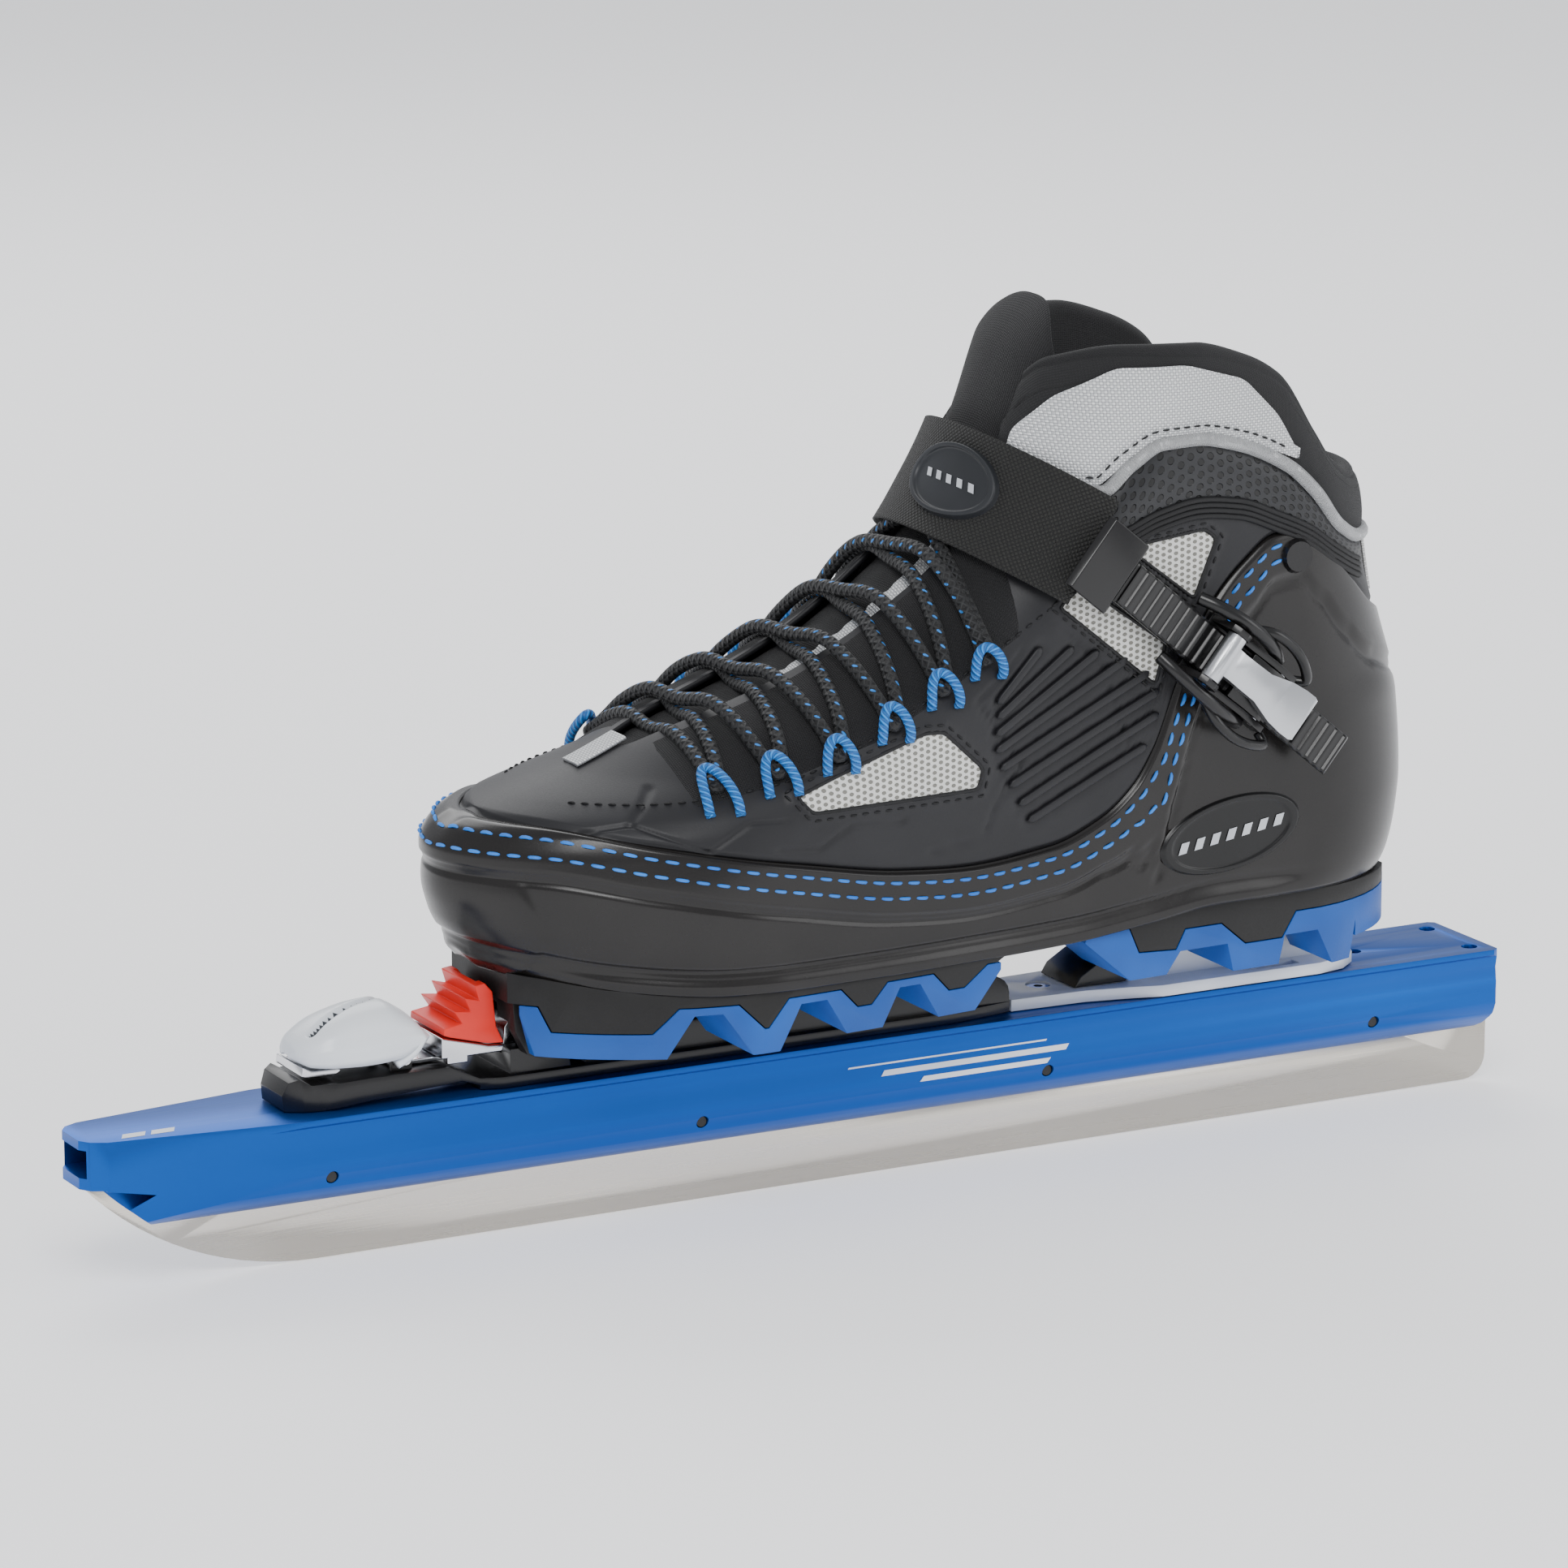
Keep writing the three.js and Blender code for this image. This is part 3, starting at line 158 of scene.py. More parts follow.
def anodised_aluminium():
    """Drawn aluminium, anodised blue: a satin metal with faint lines along its length, 0.3 mm apart."""
    material, tree, shader = finish("anodised_drawn_aluminium", Metallic=0.82, Roughness=0.36)
    where = put(tree, "TexCoord").outputs["Object"]
    drawn = put(tree, "Mapping", values={"Scale": (12.0, 900.0, 900.0)}, links={"Vector": where}).outputs["Vector"]
    lines = put(tree, "TexNoise", values={"Scale": 3.0, "Detail": 4.0}, links={"Vector": drawn}).outputs["Fac"]
    broad = put(tree, "TexNoise", values={"Scale": 9.0, "Detail": 2.0}, links={"Vector": where}).outputs["Fac"]
    tint = put(tree, "Mix", data_type="RGBA", values={6: srgb("#0a479a"), 7: srgb("#155cb4")}, links={0: broad})
    streak = put(tree, "Mix", data_type="RGBA", values={0: 0.25, 7: srgb("#0b4da4")}, links={6: tint.outputs[2]})
    tree.links.new(streak.outputs[2], shader.inputs["Base Color"])
    rough = put(tree, "MapRange", values={"To Min": 0.28, "To Max": 0.46}, links={"Value": lines})
    tree.links.new(rough.outputs["Result"], shader.inputs["Roughness"])
    relief = put(tree, "Bump", values={"Distance": 0.03 * MM, "Strength": 0.5},
                 links={"Height": lines})
    tree.links.new(relief.outputs["Normal"], shader.inputs["Normal"])
    return material


def ground_steel():
    """Tool steel, ground along the blade: bright with long fine scratches."""
    material, tree, shader = finish("ground_tool_steel", Base_Color=srgb("#e0dacf"), Metallic=1.0, Roughness=0.3)
    where = put(tree, "TexCoord").outputs["Object"]
    drawn = put(tree, "Mapping", values={"Scale": (15.0, 400.0, 1400.0)}, links={"Vector": where}).outputs["Vector"]
    lines = put(tree, "TexNoise", values={"Scale": 2.0, "Detail": 5.0}, links={"Vector": drawn}).outputs["Fac"]
    rough = put(tree, "MapRange", values={"To Min": 0.18, "To Max": 0.42}, links={"Value": lines})
    tree.links.new(rough.outputs["Result"], shader.inputs["Roughness"])
    relief = put(tree, "Bump", values={"Distance": 0.02 * MM, "Strength": 0.6},
                 links={"Height": lines})
    tree.links.new(relief.outputs["Normal"], shader.inputs["Normal"])
    return material


def polished_steel():
    """Chromed steel: mirror-bright, with faint handling marks."""
    material, tree, shader = finish("chromed_steel", Base_Color=srgb("#d9dade"), Metallic=1.0, Roughness=0.14)
    where = put(tree, "TexCoord").outputs["Object"]
    marks = put(tree, "TexNoise", values={"Scale": 350.0, "Detail": 3.0}, links={"Vector": where}).outputs["Fac"]
    rough = put(tree, "MapRange", values={"To Min": 0.08, "To Max": 0.26}, links={"Value": marks})
    tree.links.new(rough.outputs["Result"], shader.inputs["Roughness"])
    return material


def cast_aluminium():
    """Tumbled cast aluminium: satin silver with a grain of about 0.4 mm."""
    material, tree, shader = finish("tumbled_cast_aluminium", Base_Color=srgb("#c7c9cc"),
                                    Metallic=1.0, Roughness=0.33)
    where = put(tree, "TexCoord").outputs["Object"]
    grain = put(tree, "TexNoise", values={"Scale": 2400.0, "Detail": 3.0}, links={"Vector": where}).outputs["Fac"]
    relief = put(tree, "Bump", values={"Distance": 0.05 * MM, "Strength": 0.4},
                 links={"Height": grain})
    tree.links.new(relief.outputs["Normal"], shader.inputs["Normal"])
    return material


def moulded(name, code, dark_code, roughness, grain_mm, depth_mm, coat=0.0, mottle=40.0):
    """Moulded plastic or rubber: a spark-eroded grain of `grain_mm` and a slight drift between two close tones."""
    material, tree, shader = finish(name, Roughness=roughness, Coat_Weight=coat, Coat_Roughness=0.15,
                                    Specular_IOR_Level=0.4)
    where = put(tree, "TexCoord").outputs["Object"]
    drift = put(tree, "TexNoise", values={"Scale": mottle, "Detail": 2.0}, links={"Vector": where}).outputs["Fac"]
    level = put(tree, "MapRange", values={"From Min": 0.35, "From Max": 0.65}, links={"Value": drift})
    tone = put(tree, "Mix", data_type="RGBA", values={6: srgb(dark_code), 7: srgb(code)},
               links={0: level.outputs["Result"]}).outputs[2]
    tree.links.new(tone, shader.inputs["Base Color"])
    grain = put(tree, "TexNoise", values={"Scale": 1.0 / (grain_mm * MM), "Detail": 2.0}, links={"Vector": where})
    rough = put(tree, "MapRange", values={"To Min": roughness - 0.06, "To Max": roughness + 0.06},
                links={"Value": grain.outputs["Fac"]})
    tree.links.new(rough.outputs["Result"], shader.inputs["Roughness"])
    relief = put(tree, "Bump", values={"Distance": depth_mm * MM, "Strength": 0.6},
                 links={"Height": grain.outputs["Fac"]})
    tree.links.new(relief.outputs["Normal"], shader.inputs["Normal"])
    return material


def woven(name, warp_code, weft_code, gap_code, thread_mm, depth_mm, roughness=0.6, metallic=0.0, sheen=0.2):
    """Cloth of crossed threads `thread_mm` apart on the piece's own UV map, which is in metres.

    Two sine waves give the threads, and their product the holes between them.
    """
    material, tree, shader = finish(name, Roughness=roughness, Metallic=metallic,
                                    Sheen_Weight=sheen, Sheen_Roughness=0.5)
    where = put(tree, "TexCoord").outputs["UV"]
    turn = 2.0 * np.pi / (thread_mm * MM)
    axes = put(tree, "SeparateXYZ", links={"Vector": where})
    waves = []
    for axis in ("X", "Y"):
        angle = put(tree, "Math", operation="MULTIPLY", values={1: turn}, links={0: axes.outputs[axis]})
        waves.append(put(tree, "Math", operation="SINE", links={0: angle.outputs[0]}).outputs[0])
    over = put(tree, "Math", operation="MULTIPLY", links={0: waves[0], 1: waves[1]}).outputs[0]
    blend = put(tree, "MapRange", values={"From Min": -0.25, "From Max": 0.25}, links={"Value": over})
    threads = put(tree, "Mix", data_type="RGBA", values={6: srgb(warp_code), 7: srgb(weft_code)},
                  links={0: blend.outputs["Result"]})
    height = put(tree, "Math", operation="ABSOLUTE", links={0: over}).outputs[0]
    hole = put(tree, "MapRange", values={"From Min": 0.0, "From Max": 0.3}, links={"Value": height})
    colour = put(tree, "Mix", data_type="RGBA", values={6: srgb(gap_code)},
                 links={0: hole.outputs["Result"], 7: threads.outputs[2]})
    tree.links.new(colour.outputs[2], shader.inputs["Base Color"])
    relief = put(tree, "Bump", values={"Distance": depth_mm * MM, "Strength": 0.9},
                 links={"Height": height})
    tree.links.new(relief.outputs["Normal"], shader.inputs["Normal"])
    return material


# ---------- mesh helpers ----------


def run_along(line):
    """Distance run along a polyline, at each of its points."""
    return np.concatenate([[0.0], np.cumsum(np.linalg.norm(np.diff(line, axis=0), axis=1))])


def cosine_steps(count):
    """Shares from 0 to 1 that crowd at both ends."""
    return (1 - np.cos(np.pi * np.linspace(0, 1, count))) / 2


def smooth_through(pairs):
    """A monotone cubic through [position, value] pairs: slopes are harmonic means of the chords beside each pair."""
    at, value = np.array(pairs, dtype=float).T
    chords = np.diff(value) / np.diff(at)
    slopes = np.concatenate([chords[:1], np.zeros(len(at) - 2), chords[-1:]])
    same = chords[:-1] * chords[1:] > 0
    slopes[1:-1][same] = (2 * chords[:-1] * chords[1:])[same] / (chords[:-1] + chords[1:])[same]

    def curve(x):
        x = np.asarray(x, dtype=float)
        i = np.clip(np.searchsorted(at, x, side="left") - 1, 0, len(at) - 2)
        width = at[i + 1] - at[i]
        t = np.clip((x - at[i]) / width, 0, 1)
        return (value[i] * (2 * t**3 - 3 * t**2 + 1) + slopes[i] * width * (t**3 - 2 * t**2 + t)
                + value[i + 1] * (3 * t**2 - 2 * t**3) + slopes[i + 1] * width * (t**3 - t**2))

    return curve


def make_piece(name, shape, material, body, replaced=()):
    """A mesh object riding on a body. `shape` is vertices in mm, faces, and one UV pair in metres per vertex."""
    verts, faces, uvs = shape
    mesh = bpy.data.meshes.new(name)
    mesh.from_pydata((np.asarray(verts, dtype=float) * MM).tolist(), [], faces)
    layer = mesh.uv_layers.new(name="surface")
    corners = np.zeros(len(mesh.loops), dtype=np.int32)
    mesh.loops.foreach_get("vertex_index", corners)
    layer.data.foreach_set("uv", np.asarray(uvs, dtype=np.float32)[corners].ravel())
    mesh.polygons.foreach_set("use_smooth", np.ones(len(mesh.polygons), dtype=bool))
    mesh.materials.append(material)
    piece = bpy.data.objects.new(name, mesh)
    bpy.context.scene.collection.objects.link(piece)
    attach(piece, body)
    if replaced:
        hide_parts(*replaced)
    return piece


def grid_faces(rows, columns, around=False, up=False, flip=False):
    """Quads of a grid of rows by columns, closed around its columns or up its rows where asked."""
    last_column = columns if around else columns - 1
    last_row = rows if up else rows - 1
    i, j = np.meshgrid(np.arange(last_row), np.arange(last_column), indexing="ij")
    i, j = i.ravel(), j.ravel()
    a = i * columns + j
    b = i * columns + (j + 1) % columns
    c = ((i + 1) % rows) * columns + (j + 1) % columns
    d = ((i + 1) % rows) * columns + j
    return np.stack([d, c, b, a] if flip else [a, b, c, d], axis=1)


def grid_uvs(points):
    """UV pairs in metres: mean distance run along the columns and up the rows."""
    along = np.linalg.norm(np.diff(points, axis=1), axis=2).mean(axis=0)
    up = np.linalg.norm(np.diff(points, axis=0), axis=2).mean(axis=1)
    u = np.concatenate([[0.0], np.cumsum(along)]) * MM
    v = np.concatenate([[0.0], np.cumsum(up)]) * MM
    return np.stack(np.meshgrid(u, v), axis=2).reshape(-1, 2)


def tube(path, radius, sides=16, closed=False, squash_to=1.0):
    """Vertices, faces and UVs of a round tube along `path`, with frames carried along it without twisting.

    The section is a circle of `radius` (a number or one per point), flattened to `squash_to` across its second axis.
    """
    path = np.asarray(path, dtype=float)
    count = len(path)
    ahead = np.roll(path, -1, axis=0) - np.roll(path, 1, axis=0)
    if not closed:
        ahead[0], ahead[-1] = path[1] - path[0], path[-1] - path[-2]
    ahead /= np.linalg.norm(ahead, axis=1, keepdims=True)
    side = np.cross(ahead[0], (0.0, 0.0, 1.0) if abs(ahead[0][2]) < 0.9 else (1.0, 0.0, 0.0))
    frames = []
    for direction in ahead:
        side = side - direction * side.dot(direction)
        side /= np.linalg.norm(side)
        frames.append(side)
    first = np.array(frames)
    second = np.cross(ahead, first)
    radius = np.broadcast_to(np.asarray(radius, dtype=float), (count,))
    angle = np.broadcast_to(np.linspace(0, 2 * np.pi, sides, endpoint=False), (count, sides))
    ring = (first[:, None] * np.cos(angle)[..., None] + second[:, None] * (squash_to * np.sin(angle))[..., None])
    verts = path[:, None] + ring * radius[:, None, None]
    run = run_along(path) * MM
    uvs = np.stack([np.repeat(run, sides), np.tile(np.linspace(0, 1, sides, endpoint=False), count)], axis=1)
    faces = grid_faces(count, sides, around=True, up=closed).tolist()
    verts = verts.reshape(-1, 3)
    if not closed:
        faces.append(list(range(sides - 1, -1, -1)))
        faces.append([(count - 1) * sides + k for k in range(sides)])
    return verts, faces, uvs


def spline(points, count):
    """`count` points along a smooth curve through `points`, evenly spaced: a centripetal Catmull-Rom curve."""
    points = np.asarray(points, dtype=float)
    padded = np.vstack([2 * points[0] - points[1], points, 2 * points[-1] - points[-2]])
    knots = np.concatenate([[0.0], np.cumsum(np.sqrt(np.linalg.norm(np.diff(padded, axis=0), axis=1)))])
    fine = []
    for i in range(1, len(padded) - 2):
        t = np.linspace(knots[i], knots[i + 1], 24, endpoint=False)[:, None]
        p0, p1, p2, p3 = padded[i - 1:i + 3]
        k0, k1, k2, k3 = knots[i - 1:i + 3]
        a1 = (k1 - t) / (k1 - k0) * p0 + (t - k0) / (k1 - k0) * p1
        a2 = (k2 - t) / (k2 - k1) * p1 + (t - k1) / (k2 - k1) * p2
        a3 = (k3 - t) / (k3 - k2) * p2 + (t - k2) / (k3 - k2) * p3
        b1 = (k2 - t) / (k2 - k0) * a1 + (t - k0) / (k2 - k0) * a2
        b2 = (k3 - t) / (k3 - k1) * a2 + (t - k1) / (k3 - k1) * a3
        fine.append((k2 - t) / (k2 - k1) * b1 + (t - k1) / (k2 - k1) * b2)
    fine = np.vstack([*fine, points[-1:]])
    run = run_along(fine)
    even = np.linspace(0, run[-1], count)
    return np.stack([np.interp(even, run, fine[:, k]) for k in range(fine.shape[1])], axis=1)


def joined(parts):
    """Several (verts, faces, uvs) sets as one."""
    verts, faces, uvs, start = [], [], [], 0
    for part_verts, part_faces, part_uvs in parts:
        verts.append(np.asarray(part_verts))
        uvs.append(np.asarray(part_uvs))
        faces.extend([[index + start for index in face] for face in part_faces])
        start += len(part_verts)
    return np.vstack(verts), faces, np.vstack(uvs)


def refined(node, material, bevel_mm=0.4, segments=2, angle=28.0):
    """The CAD node's own shape, with its vertices merged, flat facets joined and its edges rounded."""
    source = frame["nodes"][node]
    mesh = source.data.copy()
    mesh.name = node + "_finished"
    work = bmesh.new()
    work.from_mesh(mesh)
    bmesh.ops.remove_doubles(work, verts=work.verts, dist=0.02 * MM)
    bmesh.ops.dissolve_limit(work, angle_limit=np.radians(1.0), verts=work.verts, edges=work.edges)
    work.to_mesh(mesh)
    work.free()
    mesh.materials.clear()
    mesh.materials.append(material)
    mesh.polygons.foreach_set("use_smooth", np.ones(len(mesh.polygons), dtype=bool))
    piece = bpy.data.objects.new(node + "_finished", mesh)
    bpy.context.scene.collection.objects.link(piece)
    if bevel_mm:
        edge = piece.modifiers.new("edge", "BEVEL")
        edge.width = bevel_mm * MM
        edge.segments = segments
        edge.limit_method = "ANGLE"
        edge.angle_limit = np.radians(angle)
        edge.harden_normals = True
    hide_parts(node)
    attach(piece, source["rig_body"])
    return piece


# ---------- the boot's form ----------

FRONT = smooth_through([
    [60, -92], [76, -99], [82, -104], [90, -108.5], [100, -110.8], [108, -111], [113, -108], [117, -100],
    [120, -91], [126, -70.5], [136, -46], [144, -24], [150, -10], [157, 3], [166, 16], [175, 27.5],
    [191, 39.5], [207, 48], [225, 55], [237, 61], [250, 66]])
REAR = smooth_through([
    [60, 166], [66, 172], [72, 178], [79, 182], [90, 184.5], [100, 185.5], [123, 184], [135, 180],
    [144, 177], [164, 171], [185, 168], [250, 167]])
LOW = {
    -1: smooth_through([[-111, 40], [-80, 46], [-45, 49], [0, 46.5], [50, 41.5], [100, 38], [150, 36], [186, 34]]),
    1: smooth_through([[-111, 44], [-80, 48], [-45, 47], [0, 43], [50, 38.5], [100, 37], [150, 36], [186, 34]])}
HIGH = {
    -1: smooth_through([[-111, 42], [-45, 46], [0, 44.5], [50, 42], [100, 40.5], [140, 38], [170, 34], [186, 32]]),
    1: smooth_through([[-111, 44], [-45, 45], [0, 43], [50, 41], [100, 40.5], [140, 38], [170, 34], [186, 32]])}
NOSE = smooth_through([
    [60, 62], [80, 70], [100, 76], [114, 84], [126, 78], [144, 64], [157, 54], [175, 46], [191, 44], [250, 44]])
NOSE_POWER = smooth_through([[60, 0.5], [112, 0.5], [126, 0.6], [165, 0.62], [190, 0.52], [250, 0.5]])
HEEL = smooth_through([[60, 44], [90, 42], [150, 40], [200, 38], [250, 38]])
SOLE_EDGE = smooth_through([
    [-120, 81], [-98, 77], [-75, 73], [-46, 70.7], [0, 69.8], [40, 69.6], [61, 70], [85, 72],
    [110, 74.6], [155, 74], [190, 73]])
STITCH = smooth_through([
    [-108, 117], [-91, 116.5], [-65, 111.8], [-27, 104.2], [5, 98.2], [30, 96.2], [54, 98], [70, 103.5],
    [80, 111], [87, 122], [92.5, 137], [98, 150], [105, 161], [114, 170], [124, 176.5], [133, 177.5],
    [141, 173], [152, 163], [164, 152.5], [177, 145.5], [200, 134]])
COLLAR_SEAM = smooth_through([
    [0, 198], [30, 196], [69, 192.5], [78, 199.5], [87, 204.6], [97, 205], [110, 202.5], [127, 195],
    [137, 186.5], [147, 175.5], [158, 170], [180, 168]])
RIM = smooth_through([
    [44, 196], [50, 204], [53, 214], [62, 225.5], [77, 229], [99, 228], [115, 223.5], [126, 217.5], [138, 201.5],
    [147, 191.5], [158, 186.5], [180, 185]])
THROAT = smooth_through([[-60, 0.0], [-58.5, 4.0], [-54, 7], [-30, 11], [10, 14], [30, 16], [50, 17], [90, 17]])
TOP_LIMIT = 248.0


def moved_line(line, z, inset, into):
    """A profile line moved into the boot by `inset`: the outermost reach of circles rolled along it."""
    if inset == 0:
        return line(z)
    reach = abs(inset)
    sign = into * np.sign(inset)
    best = np.full(np.shape(z), -1e9)
    for share in np.linspace(-1, 1, 17):
        found = line(z + share * reach) + sign * reach * np.sqrt(1 - share * share)
        best = np.maximum(best, sign * found)
    return sign * best


def half_breadth(x, z, side, inset=0.0):
    """Half the boot's breadth at (x, z): a full breadth blended from sole to ankle, times a rounded nose and heel.

    The nose is (1 - (1 - n)^2)^p over the nose length behind the front line, the heel a quarter ellipse before
    the rear line. A negative inset lies outside the boot.
    """
    x, z = np.broadcast_arrays(np.asarray(x, dtype=float), np.asarray(z, dtype=float))
    side = int(side)
    level = np.clip((z - 88.0) / 64.0, 0, 1)
    rise = level * level * (3 - 2 * level)
    tuck = 1 - 0.05 * np.maximum(0.0, (84 - z) / 14) ** 2
    full = (LOW[side](x) * (1 - rise) + HIGH[side](x) * rise) * tuck - inset
    nose = np.clip((x - moved_line(FRONT, z, inset, 1)) / NOSE(z), 0, 1)
    back = np.clip((moved_line(REAR, z, inset, -1) - x) / HEEL(z), 0, 1)
    return full * (1 - (1 - nose) ** 2) ** NOSE_POWER(z) * np.sqrt(1 - (1 - back) ** 2)


def solve(test, low, high, steps=34):
    """The value between low and high where `test` turns from true to false, by halving."""
    low = np.array(low, dtype=float)
    high = np.array(high, dtype=float)
    for _ in range(steps):
        middle = (low + high) / 2
        inside = test(middle)
        low = np.where(inside, middle, low)
        high = np.where(inside, high, middle)
    return (low + high) / 2


def ridge_height(x):
    """Height of the boot's top line at x."""
    return solve(lambda z: FRONT(z) < x, np.full(np.shape(x), 108.0), np.full(np.shape(x), 250.0))


def height_at(x, y, stand=0.0):
    """Height of the boot's face, moved out by `stand`, above plan position (x, y)."""
    x, y = np.broadcast_arrays(np.asarray(x, dtype=float), np.asarray(y, dtype=float))

    def inside(z):
        outer, inner = (half_breadth(x, z, side, -stand) for side in (-1, 1))
        return (FRONT(z) < x + stand) & (np.where(y < 0, outer, inner) > np.abs(y))

    return solve(inside, np.full(x.shape, 100.0), np.full(x.shape, TOP_LIMIT))


def face_normals(points, side):
    """Outward unit normals of the boot's face at (x, z) on one side, by small differences."""
    x, z = points[..., 0], points[..., 2]
    step = 0.6
    slope_x = (half_breadth(x + step, z, side) - half_breadth(x - step, z, side)) / (2 * step)
    slope_z = (half_breadth(x, z + step, side) - half_breadth(x, z - step, side)) / (2 * step)
    normals = np.stack([-slope_x, np.full(x.shape, float(side)), -slope_z], axis=-1)
    return normals / np.linalg.norm(normals, axis=-1, keepdims=True)


def on_face(x, z, side, stand=0.0):
    """Points on one side of the boot at (x, z), moved out along the surface by `stand`."""
    x, z = np.broadcast_arrays(np.asarray(x, dtype=float), np.asarray(z, dtype=float))
    points = np.stack([x, side * half_breadth(x, z, side), z], axis=-1)
    return points + face_normals(points, side) * np.asarray(stand)[..., None]


def level_grid(low, high, shares, columns, first_x):
    """Points (rows, columns, xz) on level lines between two side lines, ending on the boot's rear line.

    Line s lies at low + s (high - low) and starts at first_x(line). Its points crowd at both ends, where the
    surface turns.
    """
    grid = np.zeros((len(shares), columns, 2))
    for row, share in enumerate(shares):
        def line(x, share=share):
            return low(x) * (1 - share) + high(x) * share
        start = first_x(line)
        end = solve(lambda x: REAR(line(x)) > x, 150.0, 187.0)
        x = start + (end - start) * cosine_steps(columns)
        grid[row] = np.stack([x, line(x)], axis=1)
    return grid


def wrap(grid, stand=0.0):
    """A band of (x, z) points as one closed belt round the boot: outer side to the heel, then the inner side back."""
    outer = surface_points(grid, -1, stand)
    inner = surface_points(grid, 1, stand)[:, -2:0:-1]
    return np.concatenate([outer, inner], axis=1)


def surface_points(grid, side, stand=0.0):
    """3-D points of an (x, z) grid on one side, moved out by `stand` (a number or one per point)."""
    x, z = grid[..., 0], grid[..., 1]
    points = np.stack([x, side * half_breadth(x, z, side), z], axis=-1)
    safe_x = np.clip(x, FRONT(z) + 0.8, REAR(z) - 0.8)
    near = np.stack([safe_x, points[..., 1], z], axis=-1)
    normals = face_normals(near, side)
    at_nose = np.clip((safe_x - x) / 0.8, 0, 1)[..., None]
    ahead = np.zeros_like(points)
    ahead[..., 0] = np.where(x < 40, -1.0, 1.0)
    normals = normals * (1 - at_nose) + ahead * at_nose
    normals /= np.linalg.norm(normals, axis=-1, keepdims=True)
    return points + normals * np.broadcast_to(stand, x.shape)[..., None]


def distance_to(points, line):
    """Distance of (x, z) points to a polyline, and how far along it (mm) the nearest place lies."""
    line = np.asarray(line, dtype=float)
    best = np.full(points.shape[:-1], 1e9)
    place = np.zeros(points.shape[:-1])
    run = 0.0
    for start, end in zip(line[:-1], line[1:]):
        step = end - start
        length = np.linalg.norm(step)
        t = np.clip(((points - start) @ step) / length**2, 0, 1)
        gap = np.linalg.norm(points - start - t[..., None] * step, axis=-1)
        nearer = gap < best
        best = np.where(nearer, gap, best)
        place = np.where(nearer, run + t * length, place)
        run += length
    return best, place


def inside_outline(points, outline):
    """Whether (x, z) points lie in a closed outline, by counting crossings."""
    x, z = points[..., 0], points[..., 1]
    inside = np.zeros(x.shape, dtype=bool)
    outline = np.asarray(outline, dtype=float)
    for (x0, z0), (x1, z1) in zip(outline, np.roll(outline, -1, axis=0)):
        crosses = (z0 > z) != (z1 > z)
        at = (x1 - x0) * (z - z0) / (z1 - z0 + 1e-12) + x0
        inside ^= crosses & (x < at)
    return inside


def groove(distance, half_width):
    """A round-bottomed groove profile: 1 on the line, 0 past `half_width`."""
    t = np.clip(distance / half_width, 0, 1)
    return (1 - t * t) ** 2


def step_up(distance, width):
    """A smooth step from 0 to 1 over `width`."""
    t = np.clip(distance / width, 0, 1)
    return t * t * (3 - 2 * t)


def sewn(name, lines, material, pitch, share, radius):
    """Rows of stitches: a six-sided capsule on every `pitch` of each 3-D line, its ends sunk in the surface."""
    parts = []
    for line in lines:
        run = run_along(line)
        count = max(2, int(run[-1] / pitch))
        normals = line_normals(line)
        for k in range(count):
            at = (k + 0.5) * run[-1] / count + np.linspace(-0.5, 0.5, 5) * pitch * share
            path = np.stack([np.interp(at, run, line[:, a]) for a in range(3)], axis=1)
            out = np.stack([np.interp(at, run, normals[:, a]) for a in range(3)], axis=1)
            path = path + out * (np.array([-0.5, 0.15, 0.3, 0.15, -0.5]) * radius * 2)[:, None]
            parts.append(tube(path, radius * np.array([0.55, 0.95, 1.0, 0.95, 0.55]), sides=6))
    make_piece(name, joined(parts), material, "boot")


def line_normals(line):
    """Outward normals of the boot along a 3-D line on its face."""
    side = np.where(line[:, 1] < 0, -1, 1)
    normals = np.zeros_like(line)
    for which in (-1, 1):
        rows = side == which
        if rows.any():
            z = line[rows, 2]
            x = np.clip(line[rows, 0], FRONT(z) + 1.0, REAR(z) - 1.0)
            normals[rows] = face_normals(np.stack([x, line[rows, 1], z], axis=-1), which)
    return normals


def sheet(points, flip=False):
    """A grid of points as an open sheet: vertices, faces and UVs."""
    return points.reshape(-1, 3), grid_faces(*points.shape[:2], flip=flip).tolist(), grid_uvs(points)


def closed_skin(points, thickness, closed_around):
    """A grid of points as a closed shell: the outer skin, an inner skin `thickness` behind it, and rims between.

    The inner skin lies behind each point along the grid's own normal. Returns vertices, faces and UVs.
    """
    rows, columns, _ = points.shape
    normals = grid_normals(points, closed_around)
    inner = points - normals * np.broadcast_to(thickness, points.shape[:2])[..., None]
    faces = grid_faces(rows, columns, around=closed_around).tolist()
    count = rows * columns
    back = (grid_faces(rows, columns, around=closed_around, flip=True) + count).tolist()
    rims = []
    last = columns if closed_around else columns - 1
    for j in range(last):
        k = (j + 1) % columns
        rims.append([j, j + count, k + count, k])
        top = (rows - 1) * columns
        rims.append([top + k, top + k + count, top + j + count, top + j])
    if not closed_around:
        for i in range(rows - 1):
            a, b = i * columns, (i + 1) * columns
            rims.append([b, b + count, a + count, a])
            a, b = a + columns - 1, b + columns - 1
            rims.append([a, a + count, b + count, b])
    verts = np.concatenate([points.reshape(-1, 3), inner.reshape(-1, 3)])
    plan = grid_uvs(points)
    return verts, faces + back + rims, np.concatenate([plan, plan])


